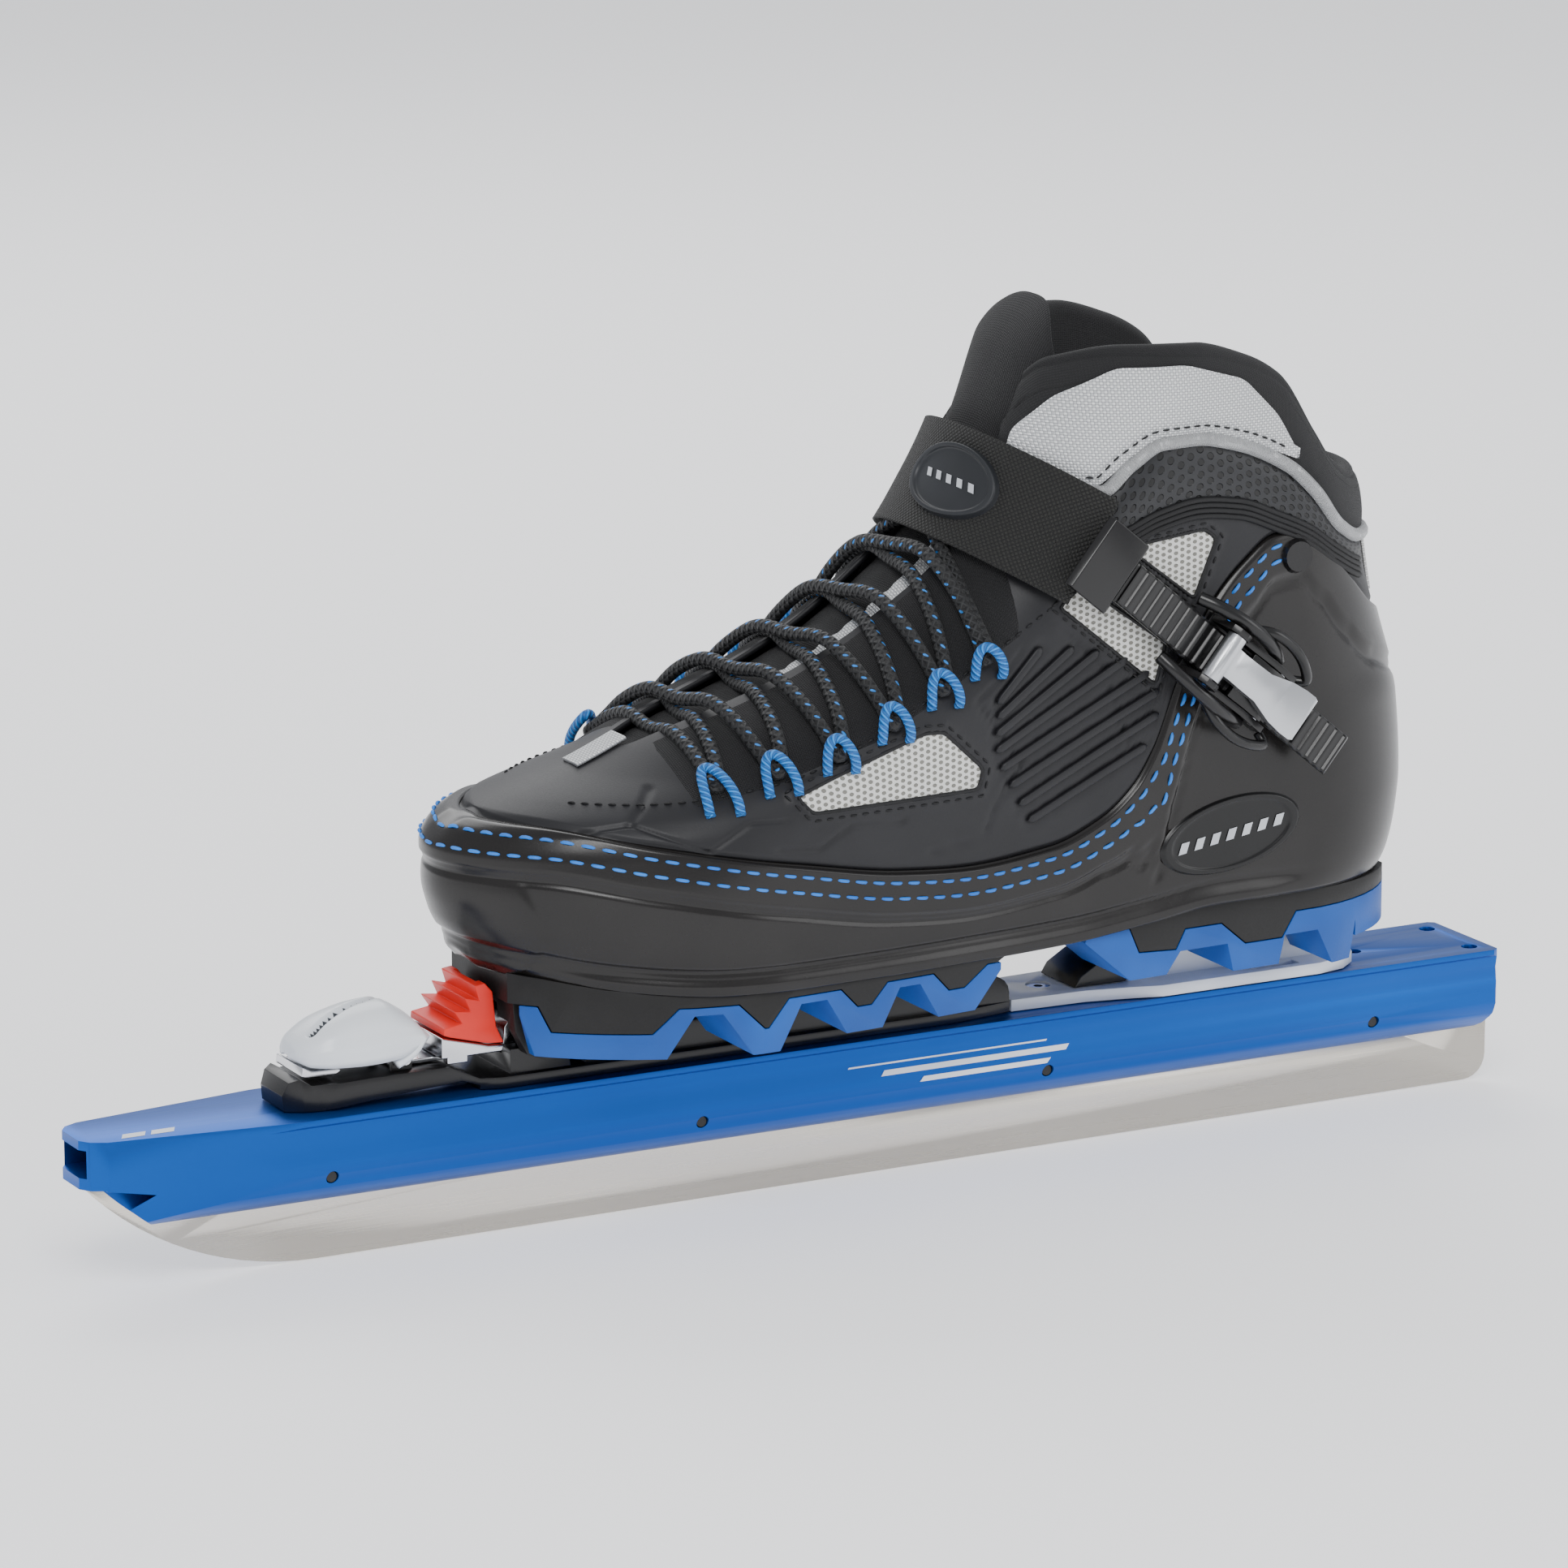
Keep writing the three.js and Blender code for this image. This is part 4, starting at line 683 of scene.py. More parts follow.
def grid_normals(points, closed_around):
    """Unit normals of a grid of points, pointing to the side its faces point to."""
    along = np.gradient(points, axis=1)
    if closed_around:
        along = (np.roll(points, -1, axis=1) - np.roll(points, 1, axis=1)) / 2
    up = np.gradient(points, axis=0)
    normals = np.cross(along, up)
    size = np.linalg.norm(normals, axis=2, keepdims=True)
    return normals / np.maximum(size, 1e-9)


# ---------- the boot's panels ----------


def add_lower_shell(material):
    """The moulded shell: a belt from sole to seam, with a lip over the sole, a toe bumper and a rolled top edge."""
    shares = np.concatenate([np.linspace(0, 0.16, 15), np.linspace(0.18, 0.84, 46), np.linspace(0.86, 1, 17)])
    grid = level_grid(SOLE_EDGE, STITCH, shares, 300, lambda line: solve(lambda x: FRONT(line(x)) > x, -111.5, 70.0))
    x, z = grid[..., 0], grid[..., 1]
    from_top = (STITCH(x) - z) / np.sqrt(1 + ((STITCH(x + 1) - STITCH(x - 1)) / 2) ** 2)
    from_sole = z - SOLE_EDGE(x)
    welt = 0.9 * step_up(12.5 - from_top, 1.6)
    rolled = -1.3 * groove(from_top, 1.3)
    lip = 1.3 * groove(from_sole - 2.2, 2.2) * step_up(150 - x, 30)
    crease = -0.7 * groove(np.abs(from_sole - 6.0), 1.6) * step_up(150 - x, 30)
    waist = -0.6 * groove(np.abs(from_top - 14.0), 1.4)
    wave_x = -93 + 3.0 * np.sin((z - 76) / 40 * 2 * np.pi)
    bumper = 0.9 * step_up(wave_x - x, 2.5) * step_up(from_top - 11, 12)
    stand = welt + rolled + lip + crease + waist + bumper
    shape = closed_skin(wrap(grid, stand), 2.6, True)
    make_piece("lower_shell_skin", shape, material, "boot", ("lower_shell",))


def throat_top(x):
    """Top edge of the upper: the throat's edge up to the shaft, then the collar seam."""
    x = np.asarray(x, dtype=float)
    half = THROAT(x)
    ridge = ridge_height(np.minimum(x, 60.0))

    def inside(z):
        both = np.minimum(half_breadth(x, z, -1), half_breadth(x, z, 1))
        return (FRONT(z) < x) & (both > half)

    edge = solve(inside, np.full(x.shape, 100.0), np.full(x.shape, TOP_LIMIT))
    edge = np.where(x < -60.0, ridge, edge)
    edge = np.where(x > 95.0, 300.0, edge)
    return np.minimum(edge, np.where(x > 24.0, COLLAR_SEAM(x), 300.0))


TABLE_X = np.linspace(-112, 200, 1400)
THROAT_TABLE = throat_top(TABLE_X)


def upper_top(x):
    """The upper's top edge, read from its table."""
    return np.interp(x, TABLE_X, THROAT_TABLE)


RIBS = (
    [[36, 139.5], [50, 153.5]], [[36, 135.6], [60, 152.5]], [[35.5, 131], [68, 150.5]], [[35.5, 126.5], [77, 147.5]],
    [[37, 121.5], [84, 143]], [[40, 116.5], [87.5, 137.5]], [[43, 111], [87.5, 131]], [[46, 106], [84, 122.5]])
MESH_WINDOW = [[-26, 121.5], [13, 134.2], [19, 134.0], [31.5, 122.5], [30, 117.0], [-22, 117.0]]
SIDE_MESHES = (
    [[76, 178], [101, 180.5], [105, 177.5], [98, 161.5]],
    [[55.5, 163.5], [62.5, 169], [89, 150.5], [86, 139]])


def add_upper(material):
    """The vamp and quarters: two side sheets from the seam to the throat, joined over the toe.

    The seats of the ribs and the panel lines lie 0.6 mm deep, and a rim stands 0.5 mm round each mesh window.
    """
    shares = np.sin(np.linspace(0, np.pi / 2, 88))
    parts = []
    toe = float(solve(lambda x: FRONT(STITCH(x)) > x, -111.5, -60.0))
    grid = level_grid(STITCH, upper_top, shares, 340, lambda line: toe)
    for side in (-1, 1):
        x, z = grid[..., 0], grid[..., 1]
        stand = np.full(x.shape, 0.05)
        seam = z - STITCH(x)
        stand -= 0.7 * groove(seam, 1.5)
        for start, end in RIBS:
            near, _ = distance_to(grid, [start, end])
            stand -= 0.6 * groove(np.maximum(near - 0.9, 0), 1.2)
        for line in panel_lines():
            near, _ = distance_to(grid, line)
            stand -= 0.6 * groove(near, 0.8)
        for outline in (MESH_WINDOW, *SIDE_MESHES):
            loop = [*outline, outline[0]]
            near, _ = distance_to(grid, loop)
            within = inside_outline(grid, outline)
            stand += 0.5 * groove(np.maximum(near - 1.6, 0), 1.4) * ~within
            stand -= 0.8 * within * step_up(near, 1.4)
        points = surface_points(grid, side, stand)
        ridge_row = grid[-1, :, 0] < -59.5
        points[-1, ridge_row, 1] = 0.0
        parts.append(sheet(points, flip=side > 0))
    piece = make_piece("upper_skin", joined(parts), material, "boot", ("upper",))
    merge_close(piece, 0.02)
    wall = piece.modifiers.new("wall", "SOLIDIFY")
    wall.thickness = 1.6 * MM
    wall.offset = -1.0


def panel_lines():
    """Moulded lines on the vamp, in side view."""
    return (
        [[-101, 117.5], [-84, 115], [-70, 117], [-52, 110]],
        [[-70, 117], [-60, 124]],
        [[-52, 110], [-40, 116.5], [-30, 116]],
        [[-33, 108.5], [-20, 107.5], [-10, 112.5], [6, 111.5]],
        [[14, 101.5], [32, 104], [36, 113], [44, 122]],
        [[44, 122], [30, 141], [44, 152.5]],
        [[78, 124], [70, 146], [56, 158]])


def add_ribs(material):
    """Raised flat ribs along the ankle side: strips 2.2 mm wide and 0.8 mm high with a squarish section."""
    parts = []
    for side in (-1, 1):
        for start, end in RIBS:
            line = dense(np.array([start, end]), 1.0)
            run = np.linalg.norm(line - line[0], axis=1)
            ends = np.sqrt(np.clip(np.minimum(run, run[-1] - run) / 1.3, 0.02, 1))
            along = (line[-1] - line[0]) / run[-1]
            aside = np.array([-along[1], along[0]])
            turn = np.linspace(0, 2 * np.pi, 17)[:-1]
            width = 1.1 * np.sign(np.cos(turn)) * np.abs(np.cos(turn)) ** 0.6
            grid = line[:, None] + aside * (width[None, :, None] * ends[:, None, None])
            stand = 0.1 + 0.8 * np.sign(np.sin(turn)) * np.abs(np.sin(turn)) ** 0.5 * ends[:, None]
            points = on_face(grid[..., 0], grid[..., 1], side, stand)
            faces = grid_faces(*points.shape[:2], around=True, flip=side > 0).tolist()
            faces.append(list(range(16)))
            faces.append([(len(line) - 1) * 16 + k for k in range(16)])
            parts.append((points.reshape(-1, 3), faces, grid_uvs(points)))
    piece = make_piece("ankle_ribs", joined(parts), material, "boot")
    work = bmesh.new()
    work.from_mesh(piece.data)
    bmesh.ops.recalc_face_normals(work, faces=work.faces)
    work.to_mesh(piece.data)
    work.free()


def add_windows(mesh, edging):
    """Mesh patches in the upper's windows: rings shrunk from each outline to its middle, with a corded edge."""
    shrink = np.linspace(0.0, 1.0, 40)[:, None, None]
    patches, cords = [], []
    for side in (-1, 1):
        for outline in (MESH_WINDOW, *SIDE_MESHES):
            edge = rounded_loop(outline, 1.6)
            ring = edge[None] * shrink + edge.mean(axis=0) * (1 - shrink)
            points = on_face(ring[..., 0], ring[..., 1], side, np.full(ring.shape[:2], 0.12))
            plan = np.stack([ring[..., 0], ring[..., 1]], axis=-1).reshape(-1, 2) * MM
            faces = grid_faces(*ring.shape[:2], around=True, flip=turns_left(edge) == (side < 0))
            patches.append((points.reshape(-1, 3), faces.tolist(), plan))
            cords.append(tube(on_face(edge[:, 0], edge[:, 1], side, 0.15), 0.55, sides=8, closed=True))
    piece = make_piece("mesh_windows", joined(patches), mesh, "boot")
    merge_close(piece, 0.01)
    make_piece("window_edging", joined(cords), edging, "boot")


def add_eyestay(material):
    """The woven edge strips under the loops: a band 9 mm deep along each side of the throat, 0.5 mm proud."""
    parts = []
    for side in (-1, 1):
        x = np.linspace(-52, 44, 130)
        share = np.linspace(0, 1, 12)[:, None]
        top = upper_top(x) - 0.8
        low = np.minimum(top - 2.0, np.interp(x, [-52, -30, 0, 20, 44], [120.6, 124.5, 133.4, 143.0, 157.0]))
        z = low * (1 - share) + top * share
        ends = np.clip(np.minimum(x + 52, 44 - x) / 2.0, 0, 1) ** 0.5
        stand = 0.05 + 0.6 * np.sqrt(np.clip(np.sin(np.pi * share), 0, 1)) * ends
        points = on_face(np.broadcast_to(x, z.shape), z, side, stand)
        parts.append(sheet(points, flip=side > 0))
    make_piece("eyestay_strips", joined(parts), material, "boot")


def turns_left(loop):
    """Whether a loop of (x, z) points runs from x towards z."""
    x, z = loop.T
    return float(np.sum(x * np.roll(z, -1) - np.roll(x, -1) * z)) > 0


def rounded_loop(outline, radius, arc_points=7):
    """A closed outline with its corners rounded, its sides in steps of about 1.2 mm."""
    outline = np.asarray(outline, dtype=float)
    points = []
    for before, here, after in zip(np.roll(outline, 1, 0), outline, np.roll(outline, -1, 0)):
        a = here + (before - here) * min(radius / np.linalg.norm(before - here), 0.45)
        b = here + (after - here) * min(radius / np.linalg.norm(after - here), 0.45)
        t = np.linspace(0, 1, arc_points)[:, None]
        points.append((1 - t) ** 2 * a + 2 * t * (1 - t) * here + t**2 * b)
    loop = np.vstack([*points, points[0][:1]])
    return dense(loop, 1.2)[:-1]


def merge_close(piece, distance_mm):
    """Merges a piece's vertices that lie closer than a distance."""
    work = bmesh.new()
    work.from_mesh(piece.data)
    bmesh.ops.remove_doubles(work, verts=work.verts, dist=distance_mm * MM)
    work.to_mesh(piece.data)
    work.free()


def add_mesh_band(mesh, edging):
    """The black spacer-mesh band below the collar seam, and the ribbed cuff edge under it."""
    lower = smooth_through([[58, 178], [66, 179.5], [75, 182.5], [87, 187], [99, 189], [112, 187.5], [125, 182.6],
                            [136, 177.5], [146, 171], [160, 164], [175, 160]])
    parts, cords = [], []
    for side in (-1, 1):
        x = np.linspace(58, 160, 170)
        share = np.linspace(0, 1, 30)[:, None]
        z = lower(x) * (1 - share) + (COLLAR_SEAM(x) - 0.2) * share
        bulge = 0.25 + 1.1 * np.sin(np.pi * share) * np.ones_like(z)
        points = on_face(np.broadcast_to(x, z.shape), z, side, bulge)
        parts.append(sheet(points, flip=side > 0))
        for k in range(4):
            cords.append(tube(on_face(x, lower(x) - 0.4 - 1.5 * k, side, 0.35), 0.85, sides=8))
    make_piece("collar_mesh_band", joined(parts), mesh, "boot")
    make_piece("cuff_ribbing", joined(cords), edging, "boot")


RIVET_X = 127.0


def seam_lines():
    """The two stitch rows below the shell's edge: each runs from one rivet round the toe to the other."""
    lines = []
    for below in (3.2, 7.4):
        def row(x, below=below):
            slope = STITCH(x + 0.5) - STITCH(x - 0.5)
            return STITCH(x) - below * np.sqrt(1 + slope**2)
        start = float(solve(lambda x: FRONT(row(x)) > x, -111.5, -90.0))
        swing = cosine_steps(700)
        x = start + (RIVET_X - start) * swing
        grid = np.stack([x, row(x)], axis=-1)
        outer, inner = surface_points(grid, -1, 0.95), surface_points(grid, 1, 0.95)
        lines.append(np.vstack([outer[::-1], inner[1:]]))
    return lines


def add_seam_stitching(thread):
    """Double rows of blue thread along the shell's edge, up to the rivet."""
    sewn("shell_seam_stitching", seam_lines(), thread, pitch=5.6, share=0.72, radius=0.5)


def add_dark_stitching(thread):
    """Black thread: round the mesh window and along the eyelet row."""
    lines = []
    for side in (-1, 1):
        for outline, out in ((MESH_WINDOW, 1.9), (SIDE_MESHES[0], 1.6), (SIDE_MESHES[1], 1.6)):
            loop = grow_outline(outline, out)
            loop = np.vstack([loop, loop[:1]])
            fine = dense(loop, 1.5)
            lines.append(on_face(fine[:, 0], fine[:, 1], side, 0.5))
        stay = spline([[-80.5, 120.6], [-63, 121.0], [-49, 122.0], [-19.6, 127.0], [12.4, 140.6],
                       [37, 153.5], [54.5, 164.3]], 150)
        lines.append(on_face(stay[:, 0], stay[:, 1], side, 0.1))
    sewn("upper_stitching", lines, thread, pitch=3.6, share=0.66, radius=0.32)


def grow_outline(outline, distance):
    """A convex outline moved outwards by `distance`."""
    outline = np.asarray(outline, dtype=float)
    centre = outline.mean(axis=0)
    moved = []
    for before, here, after in zip(np.roll(outline, 1, 0), outline, np.roll(outline, -1, 0)):
        normals = []
        for a, b in ((before, here), (here, after)):
            edge = (b - a) / np.linalg.norm(b - a)
            normal = np.array([edge[1], -edge[0]])
            normals.append(normal if normal @ (here - centre) > 0 else -normal)
        both = normals[0] + normals[1]
        moved.append(here + both / max(both @ normals[0], 0.4) * distance)
    return np.array(moved)


def dense(line, spacing):
    """A polyline with points added about every `spacing`."""
    run = run_along(line)
    at = np.linspace(0, run[-1], max(2, int(run[-1] / spacing)))
    return np.stack([np.interp(at, run, line[:, a]) for a in range(line.shape[1])], axis=1)


# ---------- collar, tongue and heel tab ----------

THROAT_HALF = 17.0
SILVER_PANEL = [
    [51.5, 202], [54, 208.5], [62.5, 218.0], [76, 225.6], [94, 226.0], [112, 220.8], [123, 210], [131.5, 196.5],
    [121, 200.6], [107.5, 205.2], [95.3, 207.2], [86.7, 206.6], [77, 201.2], [68, 194.0], [57, 195.0]]


def rim_line(x, side):
    """The collar's top edge; on the inner side it dips in front, where the tongue covers it."""
    dip = 24.0 * step_up(88.0 - x, 30.0) if side > 0 else 0.0
    return np.maximum(RIM(x) - dip, COLLAR_SEAM(x) + 3.0)


def collar_start(line, side):
    """Where a level line of the collar meets its front edge: nearer the ridge outside than inside."""
    half = THROAT_HALF if side < 0 else 24.0
    return solve(lambda x: half_breadth(x, line(x), side) < half, 40.0, 95.0)


def add_collar(material):
    """The padded collar: an outer skin crowned 2 mm between seam and rim, a round rim, and a lining 6 mm inside."""
    shares = np.linspace(0, 1, 50)
    belts = []
    for side in (-1, 1):
        grid = level_grid(COLLAR_SEAM, lambda x, side=side: rim_line(x, side), shares, 170,
                          lambda line, side=side: collar_start(line, side))
        crown = 2.0 * np.sqrt(np.sin(np.pi * shares))[:, None]
        skin = surface_points(grid, side, crown * np.ones(grid.shape[:2]))
        lining = surface_points(grid[::-1], side, -6.0)
        turn = np.linspace(0, np.pi, 14)[1:-1, None, None]
        middle, reach = (skin[-1] + lining[0]) / 2, (skin[-1] - lining[0]) / 2
        over = middle + reach * np.cos(turn) + np.array([0, 0, 3.2]) * np.sin(turn)
        belt = np.concatenate([skin, over, lining])
        belts.append(belt if side < 0 else belt[:, ::-1][:, 1:])
    points = np.concatenate(belts, axis=1)
    faces = grid_faces(*points.shape[:2]).tolist()
    rows, columns = points.shape[:2]
    for j, turned in ((0, False), (columns - 1, True)):
        for i in range(rows // 2):
            a, b, c, d = (row * columns + j for row in (i, i + 1, rows - 2 - i, rows - 1 - i))
            if b != c:
                faces.append([a, b, c, d] if turned else [d, c, b, a])
    shape = points.reshape(-1, 3), faces, grid_uvs(points)
    piece = make_piece("collar_pad", shape, material, "boot", ("collar",))


def add_silver_panel(cloth):
    """The silver panel on each side of the collar: a patch 0.45 mm proud of the pad."""
    shrink = np.linspace(0.0, 1.0, 60)[:, None, None]
    patches = []
    for side in (-1, 1):
        edge = rounded_loop(SILVER_PANEL, 2.5)
        spine_z = np.interp(edge[:, 0], [44, 60, 80, 95, 110, 132], [197, 206, 215.5, 217, 213, 199])
        spine = np.stack([edge[:, 0], spine_z], axis=-1)
        ring = edge[None] * shrink + spine[None] * (1 - shrink)
        x = ring[..., 0]
        share = np.clip((ring[..., 1] - COLLAR_SEAM(x)) / (RIM(x) - COLLAR_SEAM(x)), 0, 1)
        z = COLLAR_SEAM(x) * (1 - share) + rim_line(x, side) * share
        stand = 2.0 * np.sqrt(np.sin(np.pi * share)) + 0.45
        points = on_face(np.maximum(x, FRONT(z) + 1.0), z, side, stand)
        faces = grid_faces(*ring.shape[:2], around=True, flip=turns_left(edge) == (side < 0))
        patches.append((points.reshape(-1, 3), faces.tolist(), np.stack([x, z], axis=-1).reshape(-1, 2) * MM))
    make_piece("collar_silver_panel", joined(patches), cloth, "boot")


def add_collar_trim(piping, stitch):
    """Silver piping along the collar seam, and dashed stitches beside it."""
    lines = []
    parts = []
    for side in (-1, 1):
        start = float(collar_start(COLLAR_SEAM, side)) + 6.0
        x = np.linspace(start, 168.5, 180)
        parts.append(tube(on_face(x, COLLAR_SEAM(x) + 0.6, side, 1.1), 1.9, sides=12))
        x = np.linspace(start + 14, 124, 120)
        slope = COLLAR_SEAM(x + 0.5) - COLLAR_SEAM(x - 0.5)
        size = np.sqrt(1 + slope**2)
        lines.append(on_face(x - 4.4 * slope / size, COLLAR_SEAM(x) + 4.4 / size, side, 2.35))
    make_piece("collar_piping", joined(parts), piping, "boot")
    sewn("collar_stitching", lines, stitch, pitch=3.2, share=0.6, radius=0.3)


def face_x(y, z, side, inset):
    """Where the front of the boot, moved in by `inset`, has half breadth y: the nose formula turned round."""
    level = np.clip((z - 88.0) / 64.0, 0, 1)
    rise = level * level * (3 - 2 * level)
    x = moved_line(FRONT, z, inset, 1)
    for _ in range(3):
        full = LOW[side](x) * (1 - rise) + HIGH[side](x) * rise - inset
        share = np.clip(np.abs(y) / full, 0, 0.98) ** (1 / NOSE_POWER(z))
        x = moved_line(FRONT, z, inset, 1) + (1 - np.sqrt(1 - share)) * NOSE(z)
    return x


def add_tongue(knit, silver):
    """The padded tongue: a strip behind the throat, widening up to a round head over the collar.

    Its place is the boot's front moved in by 3.6 mm, and by 7.6 mm where the collar covers it. The section is a
    lens: full 6 mm thick in the middle, thin at the edges, with cross channels sewn every 9 mm under the laces.
    """
    across = np.sin(np.linspace(-np.pi / 2, np.pi / 2, 61))
    climb = np.linspace(0, 1, 150)
    half_width = smooth_through([[118, 6], [124, 9], [132, 13], [146, 18], [160, 21], [190, 27],
                                 [215, 31], [250, 30]])
    low_z, high_z = 120.5, 240.5
    head = high_z - 25.0 * np.abs(across) ** 2.6
    base_z = low_z + (high_z - low_z) * climb[:, None] ** 1.15
    z = low_z + (head[None, :] - low_z) * ((base_z - low_z) / (high_z - low_z))
    y = across[None, :] * half_width(z) + 3.0 * step_up(z - 180.0, 30.0)
    over = step_up(z - 172.0, 26.0)
    x_free = face_x(y, z, -1, 3.7)
    x_free = np.where(y < 0, x_free, face_x(y, z, 1, 3.7))
    sweep = smooth_through([[160, 24.5], [175, 34.5], [191, 45.5], [207, 53], [225, 59.5], [240, 65.5]])
    x_over = sweep(z) + 13.0 * (np.abs(y) / 31.0) ** 2.6
    x = x_free * (1 - over) + x_over * over
    x = x + 7.0 * np.clip((z - 226.0) / 14.5, 0, 1) ** 2
    points = np.stack([x, y, z], axis=-1)
    normals = grid_normals(points, False)
    edge = np.sqrt(np.clip(1 - across**2, 0, 1))[None, :] ** 0.7
    ends = np.sqrt(np.clip(np.minimum(climb / 0.05, 1) * np.minimum((1 - climb) / 0.035, 1), 0, 1))[:, None]
    crown = edge * ends
    run = run_along(points[:, 30])
    channel = 0.8 * groove(np.abs((run[:, None] + 4.5) % 9.0 - 4.5), 1.4) * (z < 166)
    facing = np.sign(normals[80, 30, 0])
    front_skin = points - facing * normals * ((0.9 * crown - channel * crown)[..., None])
    back_skin = points + facing * normals * ((4.6 * crown + 0.2)[..., None])
    flip = facing > 0
    count = points.shape[0] * points.shape[1]
    rows, columns = points.shape[:2]
    faces = grid_faces(rows, columns, flip=flip).tolist()
    faces += (grid_faces(rows, columns, flip=not flip) + count).tolist()
    ring = ([(0, j) for j in range(columns)] + [(i, columns - 1) for i in range(1, rows)]
            + [(rows - 1, j) for j in range(columns - 2, -1, -1)] + [(i, 0) for i in range(rows - 2, 0, -1)])
    for here, after in zip(ring, ring[1:] + ring[:1]):
        a, b = here[0] * columns + here[1], after[0] * columns + after[1]
        faces.append([b, a, a + count, b + count] if not flip else [a, b, b + count, a + count])
    verts = np.concatenate([front_skin.reshape(-1, 3), back_skin.reshape(-1, 3)])
    plan = grid_uvs(points)
    shape = verts, faces, np.concatenate([plan, plan])
    piece = make_piece("tongue_pad", shape, knit, "boot", ("tongue",))
    first, last = np.searchsorted(z[:, 18], [143.0, 196.0])
    patch = front_skin[first:last, 12:24] - facing * normals[first:last, 12:24] * 0.35
    shape = closed_skin(patch, 0.3, False)
    make_piece("tongue_silver_panel", shape, silver, "boot")
    return piece


def add_heel_tab(material):
    """The pull tab: a folded webbing loop up the back of the heel, rounded over at its top."""
    run = np.linspace(0, 1, 60)
    z = 150.0 + 34.0 * np.minimum(run / 0.92, 1) - 1.6 * np.clip((run - 0.92) / 0.08, 0, 1) ** 2
    bow = 1.6 * np.sin(np.pi * np.minimum(run / 0.92, 1)) - 1.4 * np.clip((run - 0.86) / 0.14, 0, 1) ** 2
    path = np.stack([REAR(z) + 0.9 + bow, np.zeros(60), z], axis=1)
    shape = strip(path, np.tile([0.0, 1.0, 0.0], (60, 1)), 13.0, 1.4)
    make_piece("heel_tab_webbing", shape, material, "boot", ("heel_tab",))


def strip(path, across, width, thickness, sides=9):
    """A flat strap along a path: a rounded-oblong section, `across` being its width direction at each point."""
    path = np.asarray(path, dtype=float)
    ahead = np.gradient(path, axis=0)
    ahead /= np.linalg.norm(ahead, axis=1, keepdims=True)
    across = across - ahead * np.sum(across * ahead, axis=1, keepdims=True)
    across /= np.linalg.norm(across, axis=1, keepdims=True)
    out = np.cross(across, ahead)
    angle = np.linspace(0, 2 * np.pi, 4 * sides, endpoint=False)
    wide = np.sign(np.cos(angle)) * np.abs(np.cos(angle)) ** 0.28 * width / 2
    deep = np.sign(np.sin(angle)) * np.abs(np.sin(angle)) ** 0.6 * thickness / 2
    verts = path[:, None] + across[:, None] * wide[None, :, None] + out[:, None] * deep[None, :, None]
    count, ring = verts.shape[:2]
    run = run_along(path) * MM
    uvs = np.stack([np.repeat(run, ring), np.tile(wide * MM, count)], axis=1)
    faces = grid_faces(count, ring, around=True).tolist()
    faces.append(list(range(ring - 1, -1, -1)))
    faces.append([(count - 1) * ring + k for k in range(ring)])
    return verts.reshape(-1, 3), faces, uvs


# ---------- laces and loops ----------

EYELETS = ((-46, 124.5), (-29, 128), (-12, 132), (4.5, 138.5), (20, 146), (33.5, 152.5))
LACE_RADIUS = 1.9


def eyelet(index, side, lift):
    """A lace's place over one eyelet."""
    x, z = EYELETS[index]
    return np.array([x, side * (float(half_breadth(x, z, side)) + lift), z + 0.6 * lift])


def strand(start_at, start_side, end_at, end_side, over):
    """Nine points of one strand over the ridge, lying on the surface and `over` higher in its middle."""
    start = eyelet(start_at, start_side, 2.9)
    end = eyelet(end_at, end_side, 2.9)
    t = (np.arange(9) + 0.35) / 8.7
    points = start + (end - start) * t[:, None]
    points[:, 1] = start[1] * np.cos(np.pi * t) * np.where(t < 0.5, 1.0, -end[1] / start[1])
    resting = height_at(points[:, 0], points[:, 1], 1.2)
    resting -= 3.2 * np.exp(-(points[:, 1] / 11.0) ** 2)
    points[:, 2] = np.maximum(resting, min(start[2], end[2]) - 6) + over * np.sin(np.pi * t) ** 2
    return points


def add_lace(material):
    """One round braided lace: crossed from loop to loop, straight over at the toe end."""
    last = len(EYELETS) - 1
    side = -1
    runs = []
    for i in range(last, 0, -1):
        runs.append(strand(i, side, i - 1, -side, 4.1 if i % 2 else 0))
        side = -side
    runs.append(strand(0, side, 0, -side, 0))
    side = -side
    for i in range(last):
        runs.append(strand(i, side, i + 1, -side, 0 if (i + 1) % 2 else 4.1))
        side = -side
    path = spline(np.vstack(runs), 1500)
    make_tube("lace_braid", tube(path, LACE_RADIUS, sides=14), material, ("lace",))
    tail_parts = []
    for side in (-1, 1):
        start = eyelet(last, side, 2.6)
        tail = np.array([start, [33, side * 20, 160], [34, side * 11, 168], [35, side * 5, 174]])
        tail[1:, 2] = height_at(tail[1:, 0], tail[1:, 1], 1.2) - np.array([1.0, 2.5, 3.0])
        tail_parts.append(tube(spline(tail, 60), LACE_RADIUS, sides=14))
    make_tube("lace_ends", joined(tail_parts), material)


def add_toe_anchor(material):
    """The silver webbing tab at the toe end of the lacing: 9 mm wide, stitched down along the ridge."""
    x = np.linspace(-70.0, -55.5, 30)
    z = height_at(x, np.full(30, 0.01), 0.9)
    path = np.stack([x, np.zeros(30), z], axis=1)
    shape = strip(path, np.tile([0.0, 1.0, 0.0], (30, 1)), 9.0, 1.1)
    make_piece("toe_anchor_tab", shape, material, "boot")


